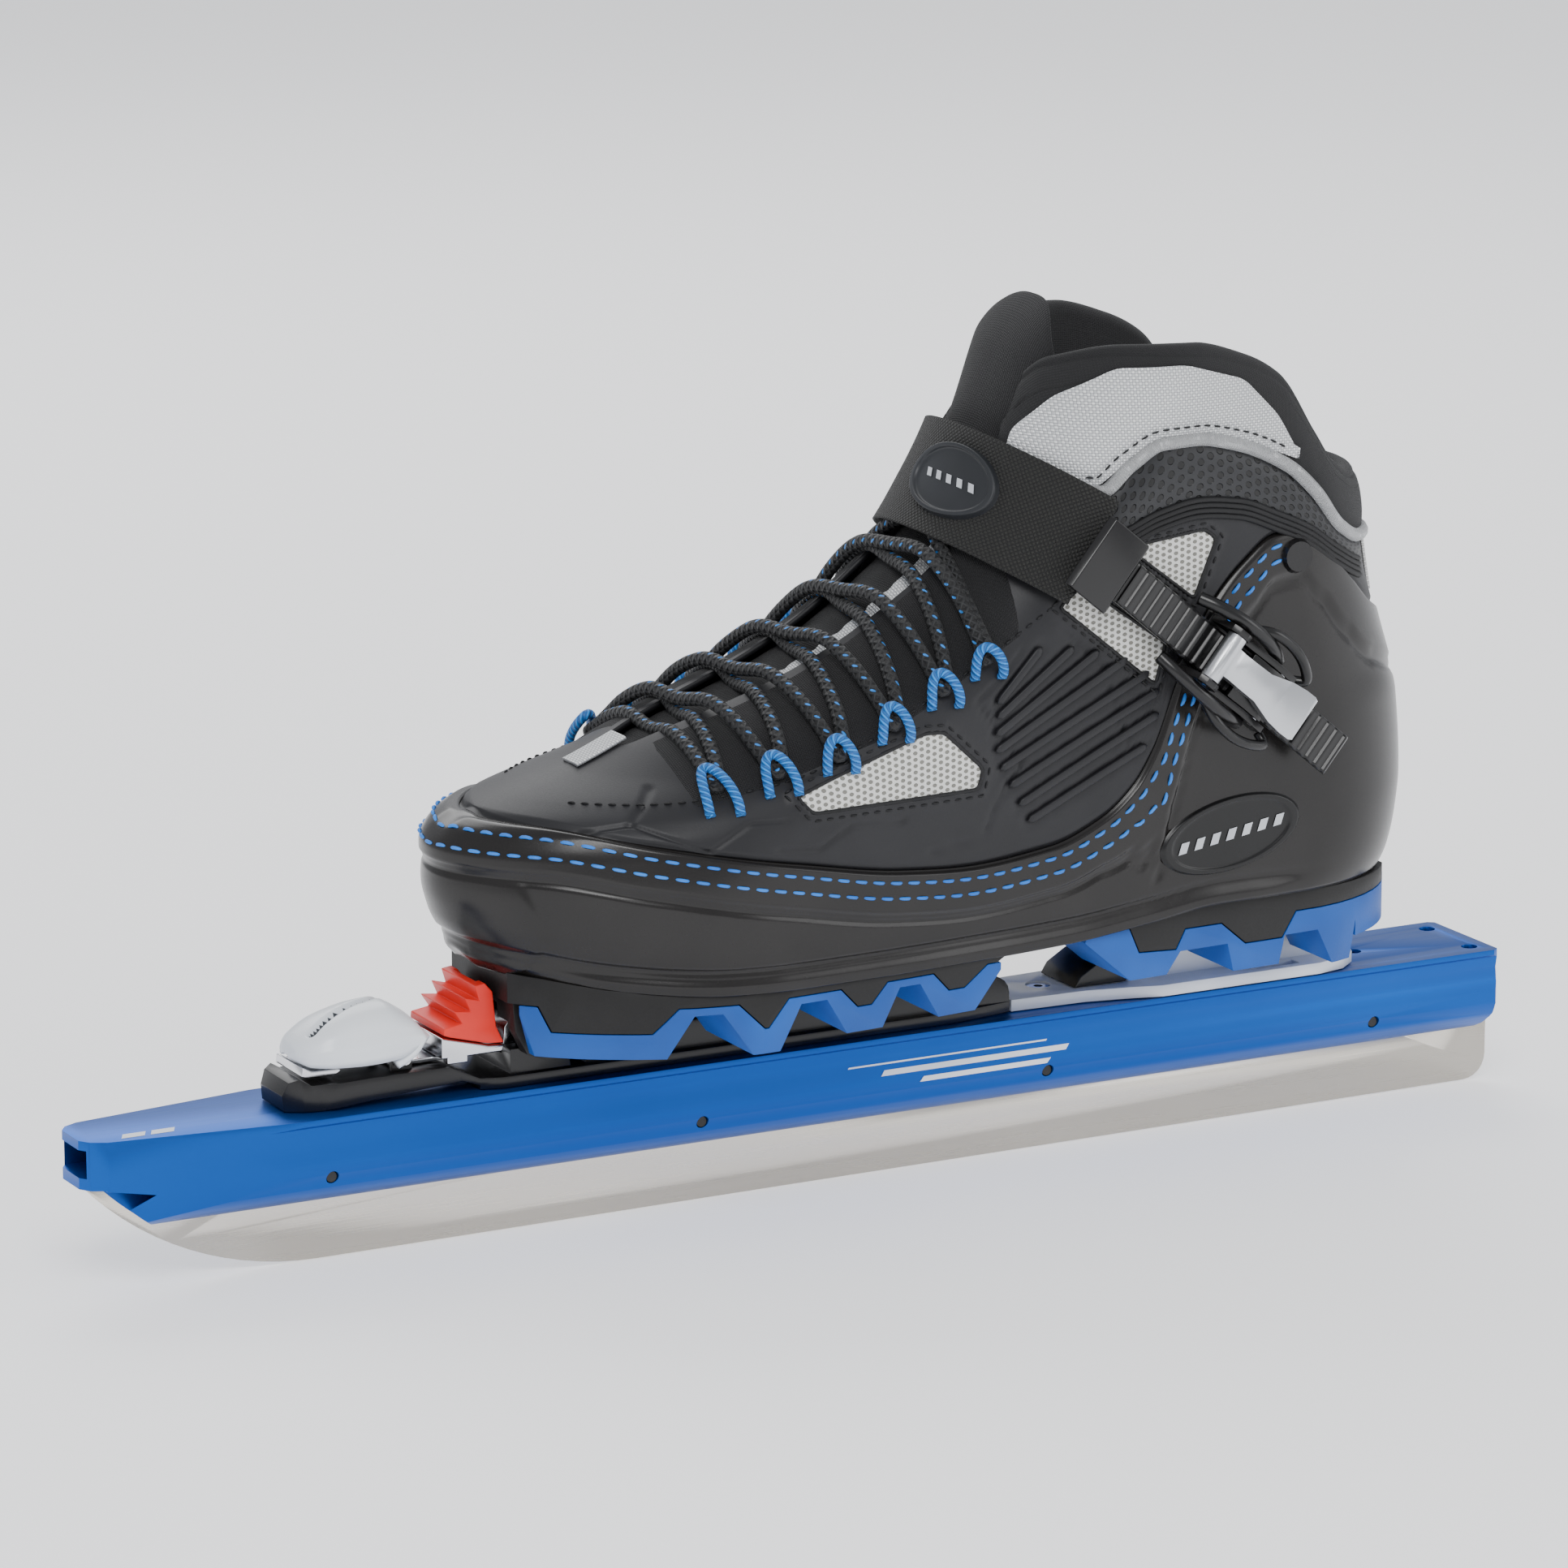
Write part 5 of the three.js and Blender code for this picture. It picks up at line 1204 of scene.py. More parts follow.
def make_tube(name, shape, material, replaced=()):
    """A tube piece, with the last strip of its UV map run on past 1 instead of back to 0."""
    mesh = make_piece(name, shape, material, "boot", replaced).data
    layer = mesh.uv_layers[0]
    pairs = np.zeros(len(mesh.loops) * 2, dtype=np.float32)
    layer.data.foreach_get("uv", pairs)
    pairs = pairs.reshape(-1, 2)
    starts = np.zeros(len(mesh.polygons), dtype=np.int64)
    totals = np.zeros(len(mesh.polygons), dtype=np.int64)
    mesh.polygons.foreach_get("loop_start", starts)
    mesh.polygons.foreach_get("loop_total", totals)
    for start in starts[totals == 4]:
        v = pairs[start:start + 4, 1]
        if v.max() - v.min() > 0.5:
            v[v < 0.5] += 1.0
    layer.data.foreach_set("uv", pairs.ravel())


def add_loops(material):
    """Blue cord loops, one on each side of each eyelet: an arch from the eyestay up round the lace."""
    for side, word in ((-1, "outer"), (1, "inner")):
        for index in range(len(EYELETS)):
            angle = np.radians(np.linspace(-6, 186, 34))
            x, z = EYELETS[index]
            reach = np.maximum(np.sin(angle), -0.2)
            lift = 0.4 + 5.0 * np.maximum(reach, 0) ** 0.7
            path = on_face(x + 3.9 * np.cos(angle), z - 5.6 + 6.6 * reach, side, lift)
            node = f"lace_loop_{word}_{index + 1}"
            make_tube(node + "_cord", tube(path, 1.35, sides=12), material, (node,))


# ---------- instep strap, ladder and buckle ----------

STRAP_START, STRAP_AHEAD, STRAP_END = (25.2, 202.5), (0.85, -0.53), 46.0
STRAP_HALF = 15.5
STRAP_STAND = 3.3


def strap_surface(offsets, turns, lift):
    """Points of the strap: level rows `offsets` across its width, `turns` from -1, outer end, to 1, inner end."""
    rows = []
    for offset in offsets:
        def place(s, offset=offset):
            return (STRAP_START[0] + STRAP_AHEAD[0] * s - STRAP_AHEAD[1] * offset,
                    STRAP_START[1] + STRAP_AHEAD[1] * s + STRAP_AHEAD[0] * offset)

        def outside(s):
            x, z = place(s)
            return moved_line(FRONT, z, -lift, 1) > x

        ridge = solve(outside, -20.0, 44.0)
        s = ridge + (STRAP_END - ridge) * turns**2
        x, z = place(s)
        outer = half_breadth(x, z, -1, -lift)
        inner = half_breadth(x, z, 1, -lift)
        y = np.where(turns < 0, -outer, inner)
        rows.append(np.stack([x, y, z], axis=-1))
    return np.array(rows)


def add_instep_strap(material):
    """The strap of coarse webbing over the instep, 31 mm wide, with a rounded edge on both sides."""
    offsets = np.linspace(STRAP_HALF, -STRAP_HALF, 44)
    turns = np.linspace(-1, 1, 260)
    outer = strap_surface(offsets, turns, STRAP_STAND)
    shape = closed_skin(outer, 1.9 * (1 - 0.6 * (np.abs(offsets) / STRAP_HALF)[:, None] ** 8), False)
    make_piece("instep_strap_webbing", shape, material, "boot", ("instep_strap",))


def add_badge(name, place, long_half, short_half, height, material):
    """A moulded oval badge: a raised rim round a dished field, on the surface that `place` gives."""
    share = np.concatenate([np.linspace(0.0, 0.8, 14), np.linspace(0.83, 1.0, 12)])
    angle = np.linspace(0, 2 * np.pi, 96, endpoint=False)
    lift = height * (0.55 + 0.45 * step_up(share - 0.82, 0.05)) * (1 - step_up(share - 0.95, 0.05))
    a = share[:, None] * long_half * np.cos(angle)
    b = share[:, None] * short_half * np.sin(angle)
    points = place(a, b, np.broadcast_to(lift[:, None], a.shape))
    faces = grid_faces(*a.shape, around=True, flip=True).tolist()
    uvs = np.stack([a.ravel(), b.ravel()], axis=1) * MM
    piece = make_piece(name, (points.reshape(-1, 3), faces, uvs), material, "boot")
    merge_close(piece, 0.005)


def heel_badge_place(a, b, lift):
    """Heel badge: centred over the heel's side, its long axis tilted 8 degrees."""
    tilt = np.radians(8.0)
    x = 112.4 + a * np.cos(tilt) - b * np.sin(tilt)
    z = 93.9 + a * np.sin(tilt) + b * np.cos(tilt)
    points = np.stack([x, -half_breadth(x, z, -1), z], axis=-1)
    return points + face_normals(points, -1) * (lift + 0.05)[..., None]


STRAP_OFFSETS = np.linspace(STRAP_HALF, -STRAP_HALF, 32)
STRAP_TURNS = np.linspace(-1, 0.4, 300)
STRAP_TABLE = strap_surface(STRAP_OFFSETS, STRAP_TURNS, STRAP_STAND)
STRAP_RUN = run_along(STRAP_TABLE[16])


def strap_badge_place(a, b, lift):
    """Strap badge: `a` mm round the strap from just outside the ridge, `b` mm across it, from the strap's table."""
    column = np.interp(np.interp(-0.208, STRAP_TURNS, STRAP_RUN) + a, STRAP_RUN, np.arange(len(STRAP_RUN)))
    row = (STRAP_HALF - (b + 0.5)) / (2 * STRAP_HALF) * (len(STRAP_OFFSETS) - 1)
    i = np.floor(row).astype(int).clip(0, len(STRAP_OFFSETS) - 2)
    j = np.floor(column).astype(int).clip(0, len(STRAP_RUN) - 2)
    f, g = (row - i)[..., None], (column - j)[..., None]
    both = []
    for source in (STRAP_TABLE, grid_normals(STRAP_TABLE, False)):
        near = source[i, j] * (1 - g) + source[i, j + 1] * g
        far = source[i + 1, j] * (1 - g) + source[i + 1, j + 1] * g
        both.append(near * (1 - f) + far * f)
    return both[0] + both[1] * (lift + 0.05)[..., None]


LADDER_ALONG = np.array([0.772, 0.0, -0.636])
LADDER_ACROSS = np.array([-0.636, 0.0, -0.772])
LADDER_MIDDLE = np.array([109.8, 0.0, 139.6])
LADDER_TOP, LADDER_TIP = -59.8, 39.8
LADDER_OUT = 46.2
TOOTH_PITCH, TOOTH_RISE = 3.4, 0.55


def on_ladder(u, out, v):
    """A point in the buckle's own axes: `u` along the ladder, `out` from the boot's middle plane, `v` across."""
    u, out, v = np.broadcast_arrays(u, out, v)
    return (LADDER_MIDDLE + u[..., None] * LADDER_ALONG + v[..., None] * LADDER_ACROSS
            + out[..., None] * np.array([0.0, -1.0, 0.0]))


def add_ladder(plastic):
    """The ladder strap: a flat strip 12.4 mm wide with saw teeth every 3.4 mm, its edges rounded off.

    The section along the strap is a closed outline (flat back, toothed face), repeated across its width; near the
    two edges it closes in on its own middle height.
    """
    u = np.concatenate([np.linspace(LADDER_TOP, LADDER_TIP, 500), np.linspace(LADDER_TIP, LADDER_TOP, 120)])
    phase = (u % TOOTH_PITCH) / TOOTH_PITCH
    tooth = TOOTH_RISE * np.clip(phase * 5, 0, 1) * np.clip((1 - phase) * 1.6, 0, 1) * (u > -47)
    face = np.arange(len(u)) < 500
    ends = np.clip(np.minimum(u - LADDER_TOP, LADDER_TIP - u) / 1.2, 0, 1) ** 0.5
    height = np.where(face, LADDER_OUT + (1.0 + tooth) * ends, LADDER_OUT - ends)
    v = np.array([-6.2, -6.15, -5.9, -5.4, -3, 0, 3, 5.4, 5.9, 6.15, 6.2])
    close = np.array([0.1, 0.5, 0.8, 1, 1, 1, 1, 1, 0.8, 0.5, 0.1])
    out = LADDER_OUT + (height[None, :] - LADDER_OUT) * close[:, None]
    points = on_ladder(u[None, :], out, v[:, None])
    faces = grid_faces(len(v), len(u), around=True).tolist()
    faces.append(list(range(len(u) - 1, -1, -1)))
    faces.append([(len(v) - 1) * len(u) + k for k in range(len(u))])
    shape = points.reshape(-1, 3), faces, grid_uvs(points)
    piece = make_piece("ladder_strap_ridged", shape, plastic, "ladder_strap", ("ladder_strap",))
    piece.data.polygons.foreach_set("use_smooth", np.zeros(len(piece.data.polygons), dtype=bool))


def add_buckle_rods(plastic):
    """Black moulded rods and ears round the buckle: on each side a rod along the ladder with a hooked ear behind."""
    parts = []
    for side in (-1, 1):
        rod = on_ladder(np.array([-25, -20, -12, -4, 3, 7]), np.array([45.5, 49, 51.5, 51, 48.6, 46]),
                        side * np.array([9.6, 10.6, 11.4, 11.6, 11.0, 10.2]))
        parts.append(tube(spline(rod, 60), 1.9, sides=12))
        ear = on_ladder(np.array([-8, -2, 6, 13, 17, 15]), np.array([48, 50.5, 50.2, 49.2, 47.6, 45.6]),
                        side * np.array([11.0, 14.2, 14.8, 13.0, 10.4, 8.6]))
        parts.append(tube(spline(ear, 60), 1.5, sides=12))
    make_piece("buckle_rods", joined(parts), plastic, "boot")


# ---------- binding and frame ----------


def add_binding_lever(material, slit_shade_material):
    """The binding's lever: a bulging moulded shell, 2.2 mm thick, with a rounded front lip and a slanting slit.

    Its section at x runs from the lower edge at -w over the top to +w: y = w sin, z = b + (t - b) cos, each
    raised to the power of a squarish oval.
    """
    half_width = smooth_through([[-154, 2], [-153, 5.5], [-150, 9], [-144, 11.4], [-130, 12], [-119, 11.4],
                                 [-116.2, 9]])
    top = smooth_through([[-154, 57.5], [-153.0, 60.4], [-150, 62.8], [-142, 66.6], [-133, 68.6], [-127.8, 68.9],
                          [-121.6, 66.0], [-116.2, 60.2]])
    low = smooth_through([[-154, 56.8], [-150, 55.2], [-142, 54.8], [-136, 54.6], [-126, 55.2], [-120, 57.9],
                          [-116.2, 59.2]])
    x = -135.1 - 18.9 * np.cos(np.pi * np.linspace(0, 1, 90))
    angle = np.linspace(-np.pi / 2, np.pi / 2, 75)
    w, t, b = half_width(x)[:, None], top(x)[:, None], low(x)[:, None]
    y = w * np.sign(np.sin(angle)) * np.abs(np.sin(angle)) ** 0.8
    z = b + (t - b) * np.abs(np.cos(angle)) ** 0.62
    grid_x = np.broadcast_to(x[:, None], y.shape)
    slit_line = [[-148, -4.5], [-139, -1.0], [-128, 2.5], [-123, 5.0]]
    near, _ = distance_to(np.stack([grid_x, y], axis=-1), slit_line)
    z = z - 2.4 * groove(near, 1.7)
    edge = np.abs(np.abs(np.degrees(angle)) - 78)[None, :]
    y = y * (1 + 0.03 * groove(edge, 12))
    points = np.stack([grid_x, y, z], axis=-1)
    verts, faces, uvs = closed_skin(points, 2.0, False)
    normals = grid_normals(points, False)
    if normals[45, 37, 2] < 0:
        verts, faces, uvs = closed_skin(points[:, ::-1], 2.0, False)
    shape = verts, faces, uvs
    piece = make_piece("binding_lever_shell", shape, material, "binding_lever", ("binding_lever",))
    # The faces in the slit's floor get the second material: dark grey painted shade in the groove of the white shell.
    piece.data.materials.append(slit_shade_material)
    centre = np.array([np.mean(verts[list(f)], axis=0) for f in faces])
    near, _ = distance_to(centre[:, :2], slit_line)
    piece.data.polygons.foreach_set("material_index", ((near < 0.8) & (centre[:, 2] > 60)).astype(np.int32))
    fork = []
    for side in (-1, 1):
        y = side * 9.9
        path = np.array([[-126.5, y, 53.4], [-124, y, 54.5], [-121, y, 56.5], [-118.5, y, 60.0]])
        fork.append(tube(spline(path, 24), np.linspace(2.3, 1.9, 24), sides=12, squash_to=0.55))
    make_piece("binding_lever_cheeks", joined(fork), material, "binding_lever")


def add_rail_marks(paint):
    """Generic paint marks: three speed lines on each side of the rail and two slanted dashes at its toe."""
    parts = []
    side_y = smooth_through([[24, 14.8], [28, 16.5], [31.5, 16.7], [34.5, 16.1], [38, 15.7], [41.2, 16.3]])
    for side in (-1, 1):
        for row, (start, length) in enumerate(((0, 62), (10, 58), (22, 40))):
            z0 = 36.4 - 3.1 * row
            x = np.linspace(6 + start, 6 + start + length, 40)[None, :]
            z = np.linspace(z0 - 0.75, z0 + 0.75, 5)[:, None]
            slant = (z - z0) * 0.8
            points = np.stack(np.broadcast_arrays(x + slant, side * (side_y(z) + 0.06), z + 0 * x), axis=-1)
            parts.append(sheet(points, flip=side > 0))
    for k in range(2):
        x = np.linspace(0, 6.5, 8)[None, :] + (-203.5 + 8.2 * k)
        y = np.linspace(-9.0, -5.6, 5)[:, None]
        points = np.stack(np.broadcast_arrays(x + (y + 7.3) * 0.5, y + 0 * x, 43.56 + 0 * x + 0 * y), axis=-1)
        parts.append(sheet(points))
    make_piece("rail_paint_marks", joined(parts), paint, "blade_frame")


def add_badge_marks(name, place, paint, count, pitch, size, lift):
    """A row of small lozenges across a badge's field."""
    parts = []
    for k in range(count):
        a = (k - (count - 1) / 2) * pitch
        s = np.linspace(-1, 1, 7)
        aa = a + size * (s[None, :] * 0.62 + s[:, None] * 0.35)
        bb = size * 0.72 * s[:, None] + 0 * s[None, :]
        points = place(aa, bb, np.full(aa.shape, lift))
        parts.append(sheet(points))
    make_piece(name, joined(parts), paint, "boot")


# ---------- more finishes ----------


def braided_lace():
    """Round polyester braid, 2.6 mm between crossings, with blue flecks every 9 mm."""
    material, tree, shader = finish("braided_polyester_lace", Roughness=0.6, Sheen_Weight=0.05)
    where = put(tree, "TexCoord").outputs["UV"]
    axes = put(tree, "SeparateXYZ", links={"Vector": where})
    lean = put(tree, "Math", operation="MULTIPLY", values={1: 4 * 2 * np.pi}, links={0: axes.outputs["Y"]})
    run = put(tree, "Math", operation="MULTIPLY", values={1: 2 * np.pi / (2.6 * MM)}, links={0: axes.outputs["X"]})
    waves = []
    for operation in ("ADD", "SUBTRACT"):
        both = put(tree, "Math", operation=operation, links={0: run.outputs[0], 1: lean.outputs[0]})
        waves.append(put(tree, "Math", operation="SINE", links={0: both.outputs[0]}).outputs[0])
    height = put(tree, "Math", operation="MAXIMUM", links={0: waves[0], 1: waves[1]}).outputs[0]
    level = put(tree, "MapRange", values={"From Min": 0.0, "From Max": 1.0}, links={"Value": height})
    dark = put(tree, "Mix", data_type="RGBA", values={6: srgb("#050506"), 7: srgb("#191a1c")},
               links={0: level.outputs["Result"]}).outputs[2]
    slow = put(tree, "Math", operation="MULTIPLY", values={1: 2 * np.pi / (9.0 * MM)}, links={0: axes.outputs["X"]})
    twice = put(tree, "Math", operation="MULTIPLY", values={1: 2 * 2 * np.pi}, links={0: axes.outputs["Y"]})
    swirl = put(tree, "Math", operation="SINE", links={0: slow.outputs[0]})
    spin = put(tree, "Math", operation="ADD", links={0: slow.outputs[0], 1: twice.outputs[0]})
    spot = put(tree, "Math", operation="SINE", links={0: spin.outputs[0]})
    both = put(tree, "Math", operation="MULTIPLY", links={0: swirl.outputs[0], 1: spot.outputs[0]})
    fleck = put(tree, "MapRange", values={"From Min": 0.88, "From Max": 0.93}, links={"Value": both.outputs[0]})
    colour = put(tree, "Mix", data_type="RGBA", values={7: srgb("#1c86e0")},
                 links={0: fleck.outputs["Result"], 6: dark})
    tree.links.new(colour.outputs[2], shader.inputs["Base Color"])
    relief = put(tree, "Bump", values={"Distance": 0.35 * MM, "Strength": 0.9},
                 links={"Height": height})
    tree.links.new(relief.outputs["Normal"], shader.inputs["Normal"])
    return material


def loop_cord():
    """Blue polyester cord, twisted: slanting ridges 1.6 mm apart."""
    material, tree, shader = finish("twisted_polyester_cord", Roughness=0.5, Sheen_Weight=0.05)
    where = put(tree, "TexCoord").outputs["UV"]
    axes = put(tree, "SeparateXYZ", links={"Vector": where})
    run = put(tree, "Math", operation="MULTIPLY", values={1: 2 * np.pi / (1.6 * MM)}, links={0: axes.outputs["X"]})
    lean = put(tree, "Math", operation="MULTIPLY", values={1: 3 * 2 * np.pi}, links={0: axes.outputs["Y"]})
    both = put(tree, "Math", operation="ADD", links={0: run.outputs[0], 1: lean.outputs[0]})
    height = put(tree, "Math", operation="SINE", links={0: both.outputs[0]}).outputs[0]
    level = put(tree, "MapRange", values={"From Min": 0.1, "From Max": 0.9}, links={"Value": height})
    tone = put(tree, "Mix", data_type="RGBA", values={6: srgb("#0f5ea8"), 7: srgb("#2b93ea")},
               links={0: level.outputs["Result"]}).outputs[2]
    tree.links.new(tone, shader.inputs["Base Color"])
    relief = put(tree, "Bump", values={"Distance": 0.3 * MM, "Strength": 0.8},
                 links={"Height": height})
    tree.links.new(relief.outputs["Normal"], shader.inputs["Normal"])
    return material


def coarse_webbing():
    """Coarse nylon webbing: olive-black lozenges of thread 2 mm across, with loose fibres between them."""
    material, tree, shader = finish("coarse_nylon_webbing", Roughness=0.75, Sheen_Weight=0.05, Sheen_Roughness=0.5)
    where = put(tree, "TexCoord").outputs["UV"]
    axes = put(tree, "SeparateXYZ", links={"Vector": where})
    waves = []
    for operation in ("ADD", "SUBTRACT"):
        both = put(tree, "Math", operation=operation, links={0: axes.outputs["X"], 1: axes.outputs["Y"]})
        turned = put(tree, "Math", operation="MULTIPLY", values={1: np.pi / (1.5 * MM)}, links={0: both.outputs[0]})
        waves.append(put(tree, "Math", operation="SINE", links={0: turned.outputs[0]}).outputs[0])
    crossed = put(tree, "Math", operation="MULTIPLY", links={0: waves[0], 1: waves[1]})
    lozenge = put(tree, "Math", operation="ABSOLUTE", links={0: crossed.outputs[0]}).outputs[0]
    solid = put(tree, "TexCoord").outputs["Object"]
    fibre = put(tree, "TexNoise", values={"Scale": 1 / (0.5 * MM), "Detail": 3.0}, links={"Vector": solid})
    height = put(tree, "Math", operation="MULTIPLY_ADD", values={1: 0.5}, links={
        0: fibre.outputs["Fac"], 2: lozenge}).outputs[0]
    level = put(tree, "MapRange", values={"From Min": 0.3, "From Max": 1.0}, links={"Value": height})
    tone = put(tree, "Mix", data_type="RGBA", values={6: srgb("#020202"), 7: srgb("#232320")},
               links={0: level.outputs["Result"]}).outputs[2]
    tree.links.new(tone, shader.inputs["Base Color"])
    relief = put(tree, "Bump", values={"Distance": 0.6 * MM, "Strength": 0.9},
                 links={"Height": height})
    tree.links.new(relief.outputs["Normal"], shader.inputs["Normal"])
    return material


def honeycomb_mesh(name, thread_code, hole_code, pitch_mm, roughness=0.6):
    """Spacer mesh: threads round staggered holes `pitch_mm` apart, on the UV map in metres."""
    material, tree, shader = finish(name, Roughness=roughness)
    where = put(tree, "TexCoord").outputs["UV"]
    turned = put(tree, "Mapping", values={"Scale": (1 / (pitch_mm * MM), 1.35 / (pitch_mm * MM), 1.0)},
                 links={"Vector": where}).outputs["Vector"]
    axes = put(tree, "SeparateXYZ", links={"Vector": turned})
    waves = []
    for x_share, y_share in ((2 * np.pi, 0.0), (np.pi, np.pi * 1.73), (np.pi, -np.pi * 1.73)):
        a = put(tree, "Math", operation="MULTIPLY", values={1: x_share}, links={0: axes.outputs["X"]})
        b = put(tree, "Math", operation="MULTIPLY_ADD", values={1: y_share},
                links={0: axes.outputs["Y"], 2: a.outputs[0]})
        waves.append(put(tree, "Math", operation="COSINE", links={0: b.outputs[0]}).outputs[0])
    first = put(tree, "Math", operation="ADD", links={0: waves[0], 1: waves[1]})
    total = put(tree, "Math", operation="ADD", links={0: first.outputs[0], 1: waves[2]}).outputs[0]
    hole = put(tree, "MapRange", values={"From Min": 0.2, "From Max": 1.1}, links={"Value": total})
    colour = put(tree, "Mix", data_type="RGBA", values={6: srgb(thread_code), 7: srgb(hole_code)},
                 links={0: hole.outputs["Result"]})
    tree.links.new(colour.outputs[2], shader.inputs["Base Color"])
    lowered = put(tree, "Math", operation="MULTIPLY", values={1: -1.0}, links={0: hole.outputs["Result"]})
    relief = put(tree, "Bump", values={"Distance": 0.5 * MM, "Strength": 0.8},
                 links={"Height": lowered.outputs[0]})
    tree.links.new(relief.outputs["Normal"], shader.inputs["Normal"])
    return material


# ---------- the whole skate ----------

add_camera()
add_studio()

# Glossy black moulding: sharp highlights that bend round the toe and heel.
shell_plastic = moulded("glossy_moulded_shell", "#1b1918", "#141211", 0.25, 0.5, 0.015, coat=0.0)
# Coated synthetic: matt near-black with a fine grain and no sharp highlight.
vamp = moulded("matt_coated_synthetic", "#1d1d20", "#17171a", 0.5, 0.45, 0.04)
# Pale spacer mesh: off-white threads round grey holes.
light_mesh = honeycomb_mesh("light_spacer_mesh", "#d2d2ce", "#77766f", 2.0)
# Black spacer mesh: larger holes, darker than the threads round them.
black_mesh = honeycomb_mesh("black_spacer_mesh", "#1c1d20", "#000000", 3.2, 0.45)
# Metallised weave: silver cloth with a soft shine.
silver_cloth = woven("silver_woven_fabric", "#f2f3f3", "#c9cbcd", "#84868a", 1.5, 0.3, 0.38, metallic=0.3)
# Knitted lining: dull black with fine loops.
knit = woven("black_knitted_lining", "#141416", "#0c0c0e", "#030304", 1.2, 0.25, 0.85, sheen=0.05)
# Brushed lining: soft black with hardly any shine.
pad_knit = woven("black_brushed_lining", "#18181a", "#101012", "#050506", 0.9, 0.15, 0.8, sheen=0.06)
# Sewing thread: bright blue dashes.
blue_thread = moulded("blue_sewing_thread", "#2d86e6", "#1c6fd0", 0.55, 0.4, 0.05)
# Sewing thread: dull black dashes.
black_thread = moulded("black_sewing_thread", "#141416", "#0b0b0c", 0.6, 0.4, 0.05)
# Acetal: clean white with a clear soft highlight.
white_plastic = moulded("white_acetal", "#e9edf1", "#dfe4ea", 0.3, 0.6, 0.01, coat=0.2)
# Glass-filled nylon: near-black with a satin shine.
black_plastic = moulded("black_glass_filled_nylon", "#121112", "#0b0b0b", 0.3, 0.5, 0.02, coat=0.15)
# Sole rubber: dull black.
black_rubber = moulded("black_sole_rubber", "#141312", "#0d0c0c", 0.55, 0.6, 0.05)
# Sole rubber: dull deep blue.
blue_rubber = moulded("blue_sole_rubber", "#0f57ae", "#0c4b9c", 0.5, 0.6, 0.04)
# Flexor rubber: strong red with a faint shine.
red_rubber = moulded("red_flexor_rubber", "#ec3327", "#d8261c", 0.42, 0.6, 0.03)
# Badge rubber: dark grey, a shade lighter than the strap.
badge_rubber = moulded("dark_badge_rubber", "#2c2e32", "#232528", 0.42, 0.4, 0.03)
# Badge plastic: smooth, the darkest black.
black_badge = moulded("black_badge_plastic", "#0c0c0d", "#080808", 0.3, 0.4, 0.02)
# Webbing: white tape with a weave that shows.
white_webbing = woven("white_webbing", "#e6e6e4", "#cfcfcd", "#a9a9a7", 1.4, 0.25, 0.7)
# Lasting board: matt beige card.
foam_board = moulded("lasting_board", "#c9c2b0", "#bbb39f", 0.8, 0.8, 0.05)
# Painted shade: dark grey on the floor of the slit in the white lever, standing in for the shade in the groove.
slit_painted_shade = moulded("slit_painted_shade", "#3a3f45", "#30343a", 0.5, 0.6, 0.02)
# Printed silver: flat pale grey.
silver_paint = moulded("silver_print", "#c9ccd0", "#b9bcc2", 0.4, 0.5, 0.01)
# Printed white: flat, brighter than the plastic.
white_paint = moulded("white_print", "#f2f4f7", "#e4e8ee", 0.45, 0.5, 0.01)
aluminium = anodised_aluminium()
steel = ground_steel()
chrome = polished_steel()
cast = cast_aluminium()
lace_cloth = braided_lace()
cord_cloth = loop_cord()
webbing = coarse_webbing()

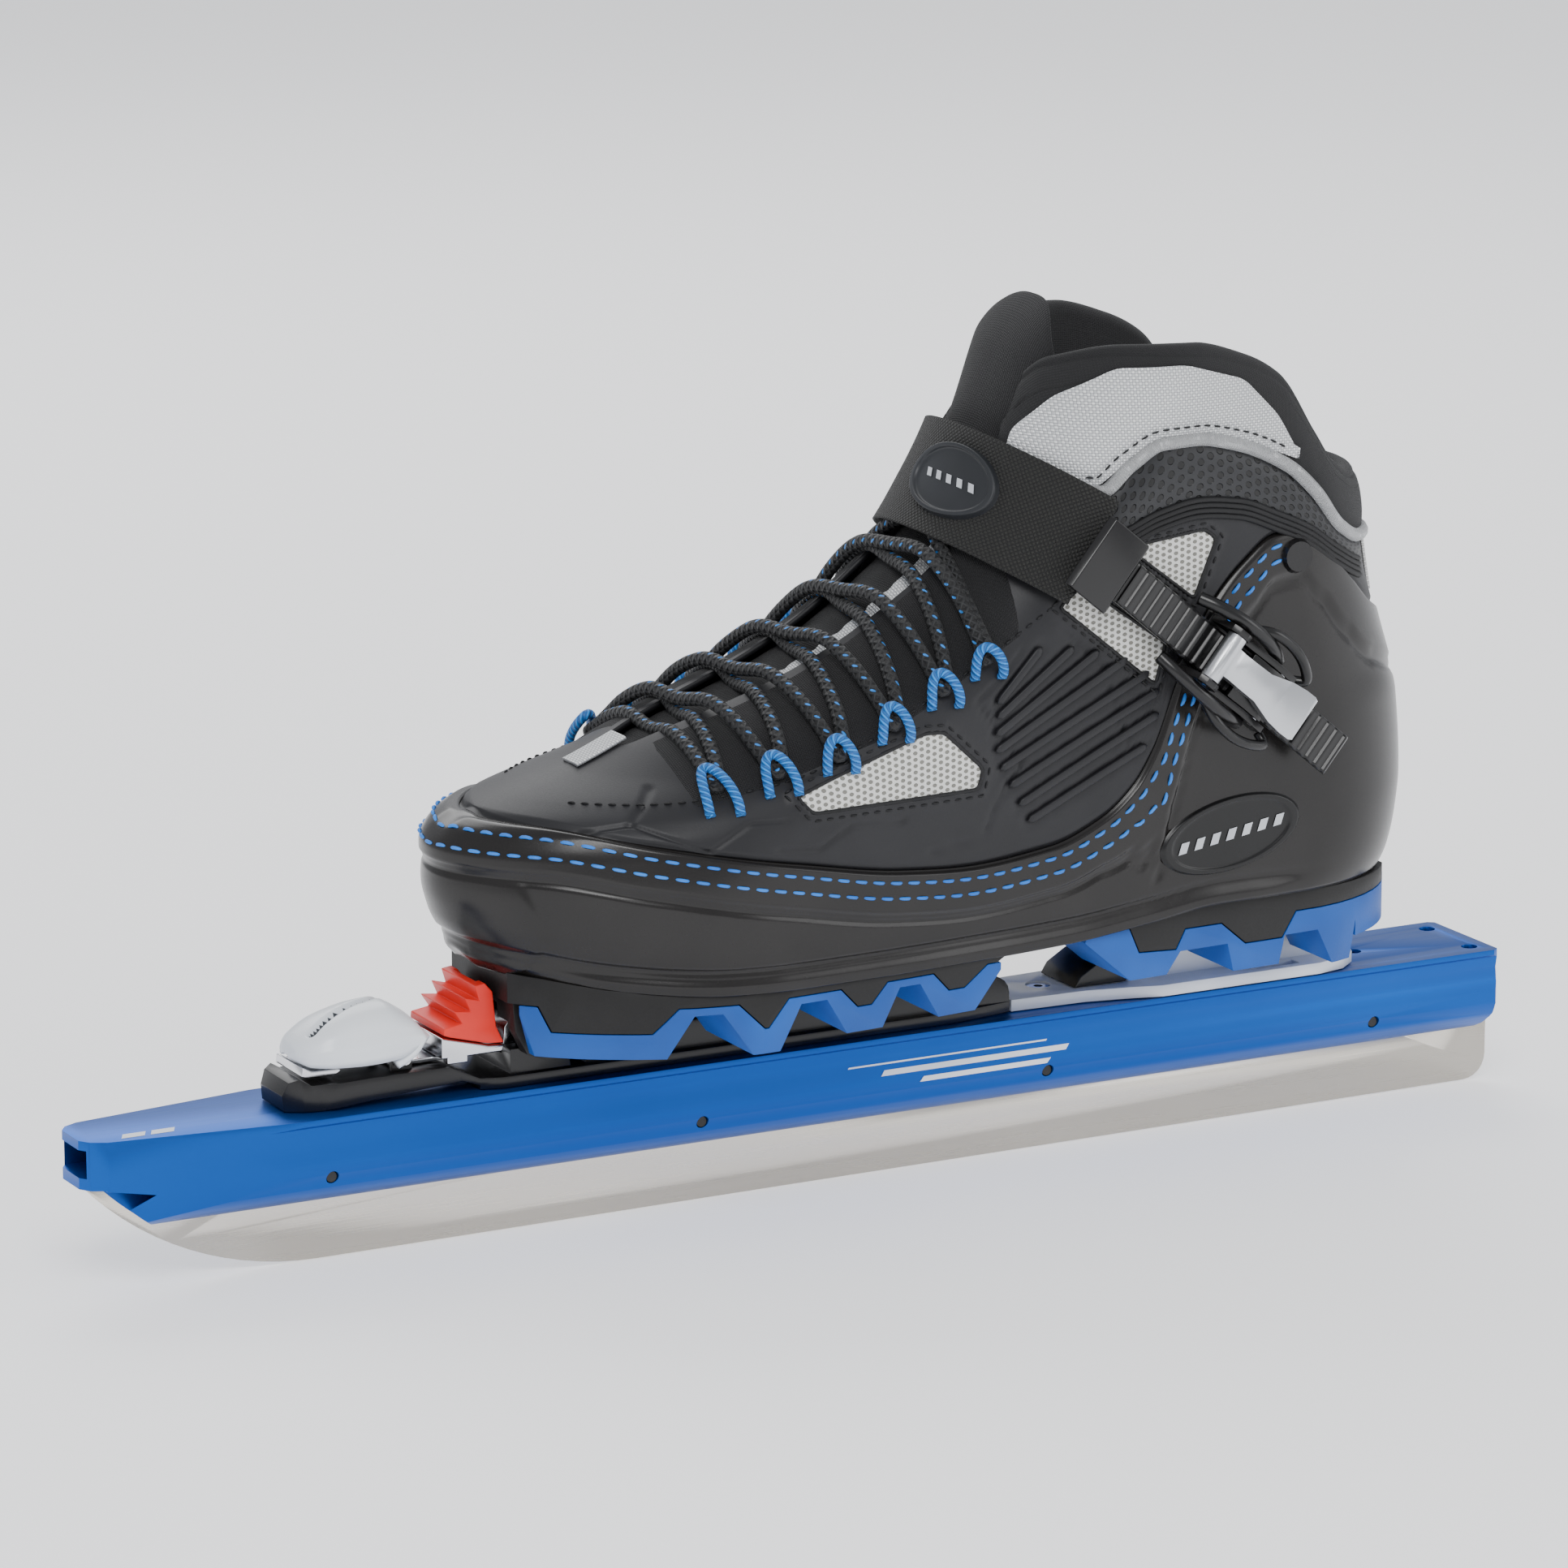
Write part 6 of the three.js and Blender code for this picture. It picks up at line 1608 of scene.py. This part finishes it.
add_lower_shell(shell_plastic)
add_upper(vamp)
add_windows(light_mesh, black_thread)
add_ribs(vamp)
add_eyestay(knit)
add_mesh_band(black_mesh, black_thread)
add_seam_stitching(blue_thread)
add_dark_stitching(black_thread)
add_collar(pad_knit)
add_silver_panel(silver_cloth)
add_collar_trim(silver_cloth, black_thread)
add_tongue(knit, silver_cloth)
add_heel_tab(white_webbing)
add_lace(lace_cloth)
add_toe_anchor(silver_cloth)
add_loops(cord_cloth)
add_instep_strap(webbing)
add_badge("heel_badge", heel_badge_place, 23.0, 10.4, 0.9, black_badge)
add_badge_marks("heel_badge_marks", heel_badge_place, silver_paint, 7, 5.2, 2.1, 0.75)
add_badge("strap_badge", strap_badge_place, 16.5, 10.4, 2.2, badge_rubber)
add_badge_marks("strap_badge_marks", strap_badge_place, silver_paint, 5, 4.2, 1.6, 1.45)
add_ladder(black_plastic)
add_buckle_rods(black_plastic)
add_binding_lever(white_plastic, slit_painted_shade)
add_rail_marks(white_paint)

CAD_FINISHES = {
    "frame_rail": (aluminium, "anodised_aluminium", 0.5),
    "steel_runner": (steel, "runner_steel", 0.0),
    "binding_base": (black_plastic, "black_plastic", 0.5),
    "heel_plate": (white_plastic, "white_plastic", 0.6),
    "guide_block": (black_plastic, "black_plastic", 0.4),
    "flexor": (red_rubber, "red_rubber", 0.35),
    "flexor_cup": (chrome, "cast_aluminium", 0.4),
    "bar_hook": (chrome, "polished_steel", 0.3),
    "lever_clip": (chrome, "polished_steel", 0.3),
    "outsole_front": (black_rubber, "black_rubber", 0.6),
    "outsole_heel": (black_rubber, "black_rubber", 0.6),
    "lug_layer_front_outer": (blue_rubber, "blue_rubber", 0.5),
    "lug_layer_front_inner": (blue_rubber, "blue_rubber", 0.5),
    "lug_layer_heel": (blue_rubber, "blue_rubber", 0.5),
    "buckle_base": (black_plastic, "black_plastic", 0.35),
    "buckle_lever": (cast, "cast_aluminium", 0.8),
    "buckle_pawl": (black_plastic, "black_plastic", 0.3),
    "strap_clip": (black_plastic, "black_plastic", 0.4),
    "midsole_board": (foam_board, "board", 0.0),
    "insole": (knit, "lining_foam", 0.0),
}
for node, (look, slot_name, bevel) in CAD_FINISHES.items():
    finished = refined(node, look, bevel)
    if node == "flexor":
        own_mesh(finished)
for node, shape in frame["nodes"].items():
    if node.startswith(("base_screw", "heel_plate_screw", "toe_bar", "lever_pin", "buckle_pin", "pawl_pin")):
        shape.data.materials.clear()
        shape.data.materials.append(chrome)
    if node.startswith(("blade_pin", "cuff_rivet")):
        shape.data.materials.clear()
        shape.data.materials.append(black_plastic)
